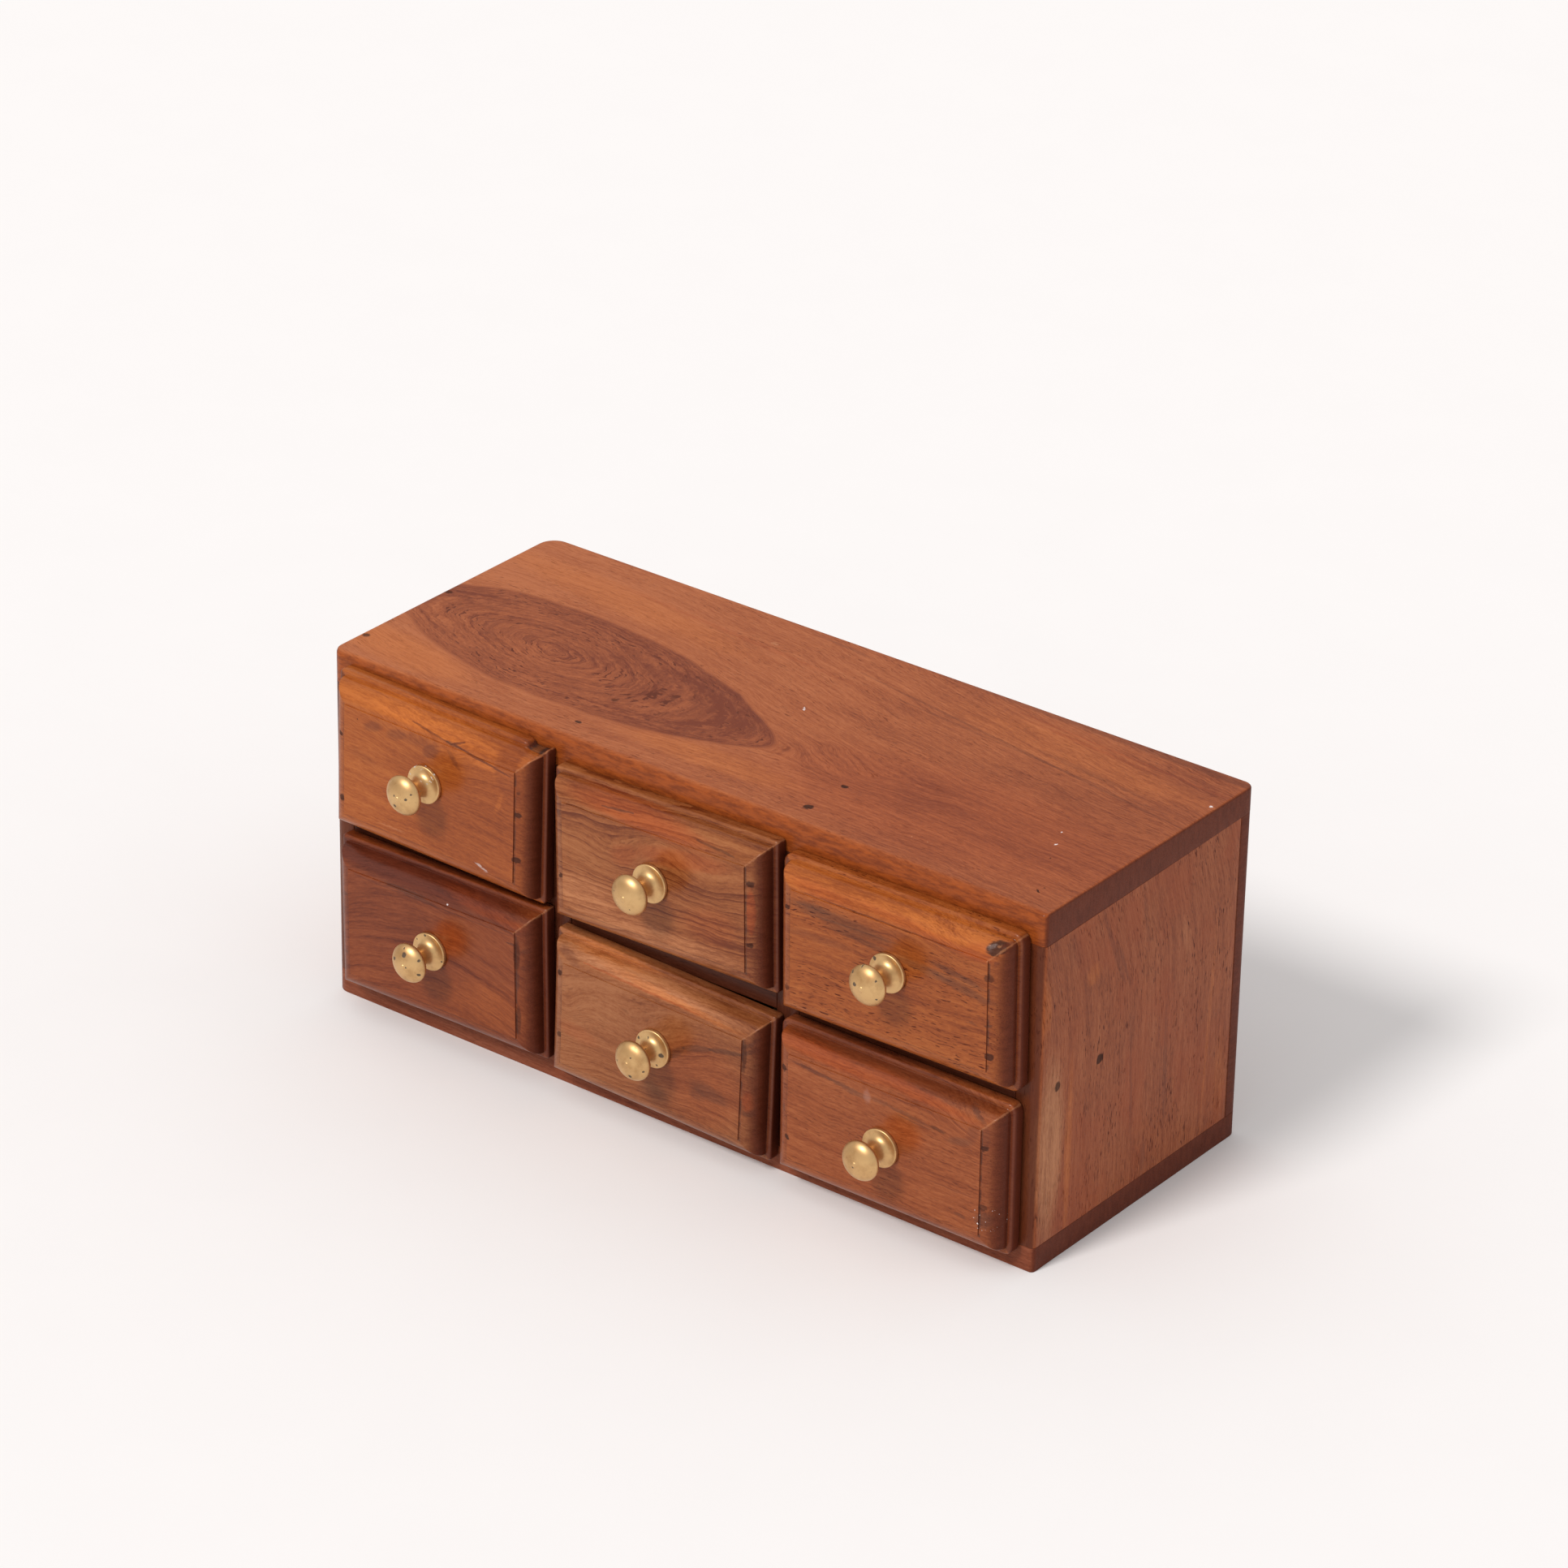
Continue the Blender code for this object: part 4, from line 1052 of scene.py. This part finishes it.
def finish_node(node, material, soften=0.0):
    """A frame node that keeps its own shape gets its finish and, if asked, softened edges."""
    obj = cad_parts[node]
    obj.data.materials.clear()
    obj.data.materials.append(material)
    if soften:
        bevel = obj.modifiers.new("softened_edges", "BEVEL")
        bevel.width = soften
        bevel.segments = 2
        bevel.limit_method = "ANGLE"
        bevel.angle_limit = radians(50)


def carcase_corners(shapes, wanted):
    radii = {
        (-1, -1): shapes.corner_front_left, (1, -1): shapes.corner_front_right,
        (-1, 1): shapes.corner_back_left, (1, 1): shapes.corner_back_right,
    }
    return {place: radii[place] for place in wanted}


def grown(node, x=0.0, z=0.0, back=0.0):
    """A node's box, grown by so much each way to close its joints."""
    low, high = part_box(node)
    return Vector((low.x - x, low.y, low.z - z)), Vector((high.x + x, high.y + back, high.z + z))


class CHEST_OT_top_board(bpy.types.Operator):
    """Make the figured top board with its rounded front edge"""
    bl_idname = "chest.top_board"
    bl_label = "Top board"

    def execute(self, context):
        shapes, colours = context.scene.chest_shapes, context.scene.chest_colours
        low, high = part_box("top_board")
        board = rounded_board(
            "figured_top", low, high, carcase_corners(shapes, CORNER_ORDER),
            (shapes.joint_edge_round, shapes.top_edge_round), front_top_edge=shapes.top_front_round,
            drops=(shapes.joint_drop, 0.0), steps=7, step=3 * MM)
        stand_for(board, "top_board", "carcase", top_wood(colours))
        return {"FINISHED"}


class CHEST_OT_case_boards(bpy.types.Operator):
    """Make the bottom, the two sides and the back panel"""
    bl_idname = "chest.case_boards"
    bl_label = "Bottom, sides and back"

    def execute(self, context):
        shapes, colours = context.scene.chest_shapes, context.scene.chest_colours
        edge, take_up = shapes.board_edge_round, shapes.joint_take_up
        upright = side_wood(colours)
        flat = plain_wood("bottom_wood", colours, "case", "lengthways", 61.0)
        rear = plain_wood("back_wood", colours, "case", "on_edge", 71.0, bend=0.0004)
        joint = shapes.joint_edge_round
        plan = (
            ("bottom_board", 0.0, 0.0, CORNER_ORDER, edge, 0.0, flat),
            ("left_side", take_up, take_up, ((-1, -1),), joint, shapes.joint_drop, upright),
            ("right_side", take_up, take_up, ((1, -1),), joint, shapes.joint_drop, upright),
            ("back_panel", take_up, 0.0, ((-1, 1), (1, 1)), joint, 0.0, rear),
        )
        for node, grow_z, grow_back, corners, under_edge, drop, material in plan:
            low, high = grown(node, z=grow_z, back=grow_back)
            board = rounded_board("planed_" + node, low, high, carcase_corners(shapes, corners),
                                  (under_edge, joint), drops=(0.0, drop))
            stand_for(board, node, "carcase", material)
        return {"FINISHED"}


class CHEST_OT_inner_boards(bpy.types.Operator):
    """Make the two dividers and the three lengths of shelf"""
    bl_idname = "chest.inner_boards"
    bl_label = "Dividers and shelf"

    def execute(self, context):
        shapes, colours = context.scene.chest_shapes, context.scene.chest_colours
        edge, take_up = shapes.board_edge_round, shapes.joint_take_up
        # The dark inner colour paints the shade in the gaps between the drawers.
        upright = plain_wood("divider_wood", colours, "inner", "upright", 81.0)
        level = plain_wood("shelf_wood", colours, "inner", "on_edge", 91.0)
        for side in ("left", "right"):
            low, high = grown(side + "_divider", z=take_up, back=take_up)
            board = rounded_board(f"planed_{side}_divider", low, high, {}, (edge, edge),
                                  drops=(0.0, shapes.joint_drop))
            stand_for(board, side + "_divider", "carcase", upright)
        for side in ("left", "middle", "right"):
            low, high = grown(side + "_shelf", x=take_up, back=take_up)
            board = rounded_board(f"planed_{side}_shelf", low, high, {}, (edge, edge))
            stand_for(board, side + "_shelf", "carcase", level)
        return {"FINISHED"}


class CHEST_OT_nails(bpy.types.Operator):
    """Finish the nails and the knob screws in dull steel"""
    bl_idname = "chest.nails"
    bl_label = "Nails and screws"

    def execute(self, context):
        steel = steel_metal(context.scene.chest_colours)
        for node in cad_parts:
            if "_nail_" in node or node.endswith("_knob_screw"):
                finish_node(node, steel)
        return {"FINISHED"}


class CHEST_OT_drawer_fronts(bpy.types.Operator):
    """Make the six moulded drawer fronts, each from its own board"""
    bl_idname = "chest.drawer_fronts"
    bl_label = "Drawer fronts"

    def execute(self, context):
        shapes, colours = context.scene.chest_shapes, context.scene.chest_colours
        for number in DRAWERS:
            shape = measure_front(number, shapes)
            front = drawer_front(number, shape, shapes)
            stand_for(front, f"drawer_{number}_front", f"drawer_{number}",
                      front_wood(number, shape, colours))
        return {"FINISHED"}


class CHEST_OT_drawer_boxes(bpy.types.Operator):
    """Finish the drawers' sides, backs and bottoms in plain thin wood"""
    bl_idname = "chest.drawer_boxes"
    bl_label = "Drawer boxes"

    def execute(self, context):
        colours = context.scene.chest_colours
        bare = {"coat": 0.05, "gloss": 0.6}
        side = plain_wood("box_side_wood", colours, "box", "front_to_back", 101.0, **bare)
        back = plain_wood("box_back_wood", colours, "box", "on_edge", 111.0, **bare)
        bottom = plain_wood("box_bottom_wood", colours, "box", "lengthways", 121.0, **bare)
        for number in DRAWERS:
            for part, wood in (("left_side", side), ("right_side", side), ("back", back), ("bottom", bottom)):
                finish_node(f"drawer_{number}_{part}", wood, soften=0.25 * MM)
        return {"FINISHED"}


class CHEST_OT_knobs(bpy.types.Operator):
    """Turn the six brass knobs"""
    bl_idname = "chest.knobs"
    bl_label = "Knobs"

    def execute(self, context):
        shapes, colours = context.scene.chest_shapes, context.scene.chest_colours
        for number in DRAWERS:
            low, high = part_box(f"drawer_{number}_knob")
            field_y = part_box(f"drawer_{number}_front")[0].y
            axis = ((low.x + high.x) / 2, (low.z + high.z) / 2)
            knob = turned_knob(number, axis, field_y, shapes.knob_steps)
            stand_for(knob, f"drawer_{number}_knob", f"drawer_{number}",
                      brass_metal(number, axis, colours))
        return {"FINISHED"}


class CHEST_OT_stage(bpy.types.Operator):
    """Set the floor, the light and the camera"""
    bl_idname = "chest.stage"
    bl_label = "Stage"

    def execute(self, context):
        stage = context.scene.chest_stage
        self.lay_floor(stage)
        self.light_room(context, stage)
        self.place_camera(context, stage)
        context.scene.view_settings.view_transform = "Standard"
        return {"FINISHED"}

    def lay_floor(self, stage):
        mesh = bpy.data.meshes.new("pale_floor")
        corners = [(x * FLOOR_REACH, y * FLOOR_REACH, 0.0) for x, y in ((-1, -1), (1, -1), (1, 1), (-1, 1))]
        mesh.from_pydata(corners, [], [(0, 1, 2, 3)])
        floor = bpy.data.objects.new("pale_floor", mesh)
        bpy.context.scene.collection.objects.link(floor)
        finish = Finish("pale_paper")
        fine = finish.noise(finish.place_mm(), (40.0, 40.0, 40.0), 1.0, 4.0)
        base = finish.mix(fine, shaded(stage.floor, 1.01, 1.01, 1.01), shaded(stage.floor, 0.99, 0.99, 0.99))
        matt = finish.finish({"Base Color": base, "Roughness": 0.9, "Specular IOR Level": 0.1})
        mesh.materials.append(matt)

    def light_room(self, context, stage):
        world = bpy.data.worlds.new("even_room_light")
        world.use_nodes = True
        background = world.node_tree.nodes["Background"]
        background.inputs["Color"].default_value = (1.0, 0.985, 0.975, 1.0)
        background.inputs["Strength"].default_value = stage.sky_strength
        context.scene.world = world
        light = bpy.data.lights.new("key_light", "SUN")
        light.energy = stage.key_strength
        light.angle = stage.key_spread
        light.color = (1.0, 0.975, 0.95)
        key = bpy.data.objects.new("key_light", light)
        context.scene.collection.objects.link(key)
        a, e = stage.key_azimuth, stage.key_elevation
        toward = Vector((sin(a) * cos(e), -cos(a) * cos(e), sin(e)))
        key.rotation_euler = (-toward).to_track_quat("-Z", "Y").to_euler()

    def place_camera(self, context, stage):
        data = bpy.data.cameras.new("view_camera")
        data.sensor_width = SENSOR_WIDTH
        data.lens = stage.lens
        data.clip_start, data.clip_end = 0.05, 50.0
        camera = bpy.data.objects.new("view_camera", data)
        context.scene.collection.objects.link(camera)
        a, e = stage.azimuth, stage.elevation
        back = Vector((sin(a) * cos(e), -cos(a) * cos(e), sin(e)))
        turn = (-back).to_track_quat("-Z", "Y").to_matrix() @ Matrix.Rotation(stage.roll, 3, "Z")
        camera.matrix_world = Matrix.Translation(Vector(stage.aim) + back * stage.distance) @ turn.to_4x4()
        context.scene.camera = camera


class CHEST_PT_panel(bpy.types.Panel):
    """The chest's pieces and its stage, in the 3D view's sidebar"""
    bl_idname = "CHEST_PT_panel"
    bl_label = "Miniature chest of drawers"
    bl_space_type = "VIEW_3D"
    bl_region_type = "UI"
    bl_category = "Chest"

    def draw(self, context):
        for operator in OPERATORS:
            self.layout.operator(operator.bl_idname)
        for settings in ("chest_shapes", "chest_colours", "chest_stage"):
            group = getattr(context.scene, settings)
            column = self.layout.column(align=True)
            for name in group.__annotations__:
                column.prop(group, name)


SETTINGS = {"chest_shapes": ChestShapes, "chest_colours": ChestColours, "chest_stage": ChestStage}
OPERATORS = (
    CHEST_OT_top_board, CHEST_OT_case_boards, CHEST_OT_inner_boards, CHEST_OT_nails,
    CHEST_OT_drawer_fronts, CHEST_OT_drawer_boxes, CHEST_OT_knobs, CHEST_OT_stage,
)


def register():
    for cls in (*SETTINGS.values(), *OPERATORS, CHEST_PT_panel):
        bpy.utils.register_class(cls)
    for name, cls in SETTINGS.items():
        setattr(bpy.types.Scene, name, PointerProperty(type=cls))


def unregister():
    for name in SETTINGS:
        delattr(bpy.types.Scene, name)
    for cls in reversed((*SETTINGS.values(), *OPERATORS, CHEST_PT_panel)):
        bpy.utils.unregister_class(cls)


def main():
    register()
    bpy.ops.chest.top_board()
    bpy.ops.chest.case_boards()
    bpy.ops.chest.inner_boards()
    bpy.ops.chest.nails()
    bpy.ops.chest.drawer_fronts()
    bpy.ops.chest.drawer_boxes()
    bpy.ops.chest.knobs()
    bpy.ops.chest.stage()


if __name__ == "__main__":
    main()
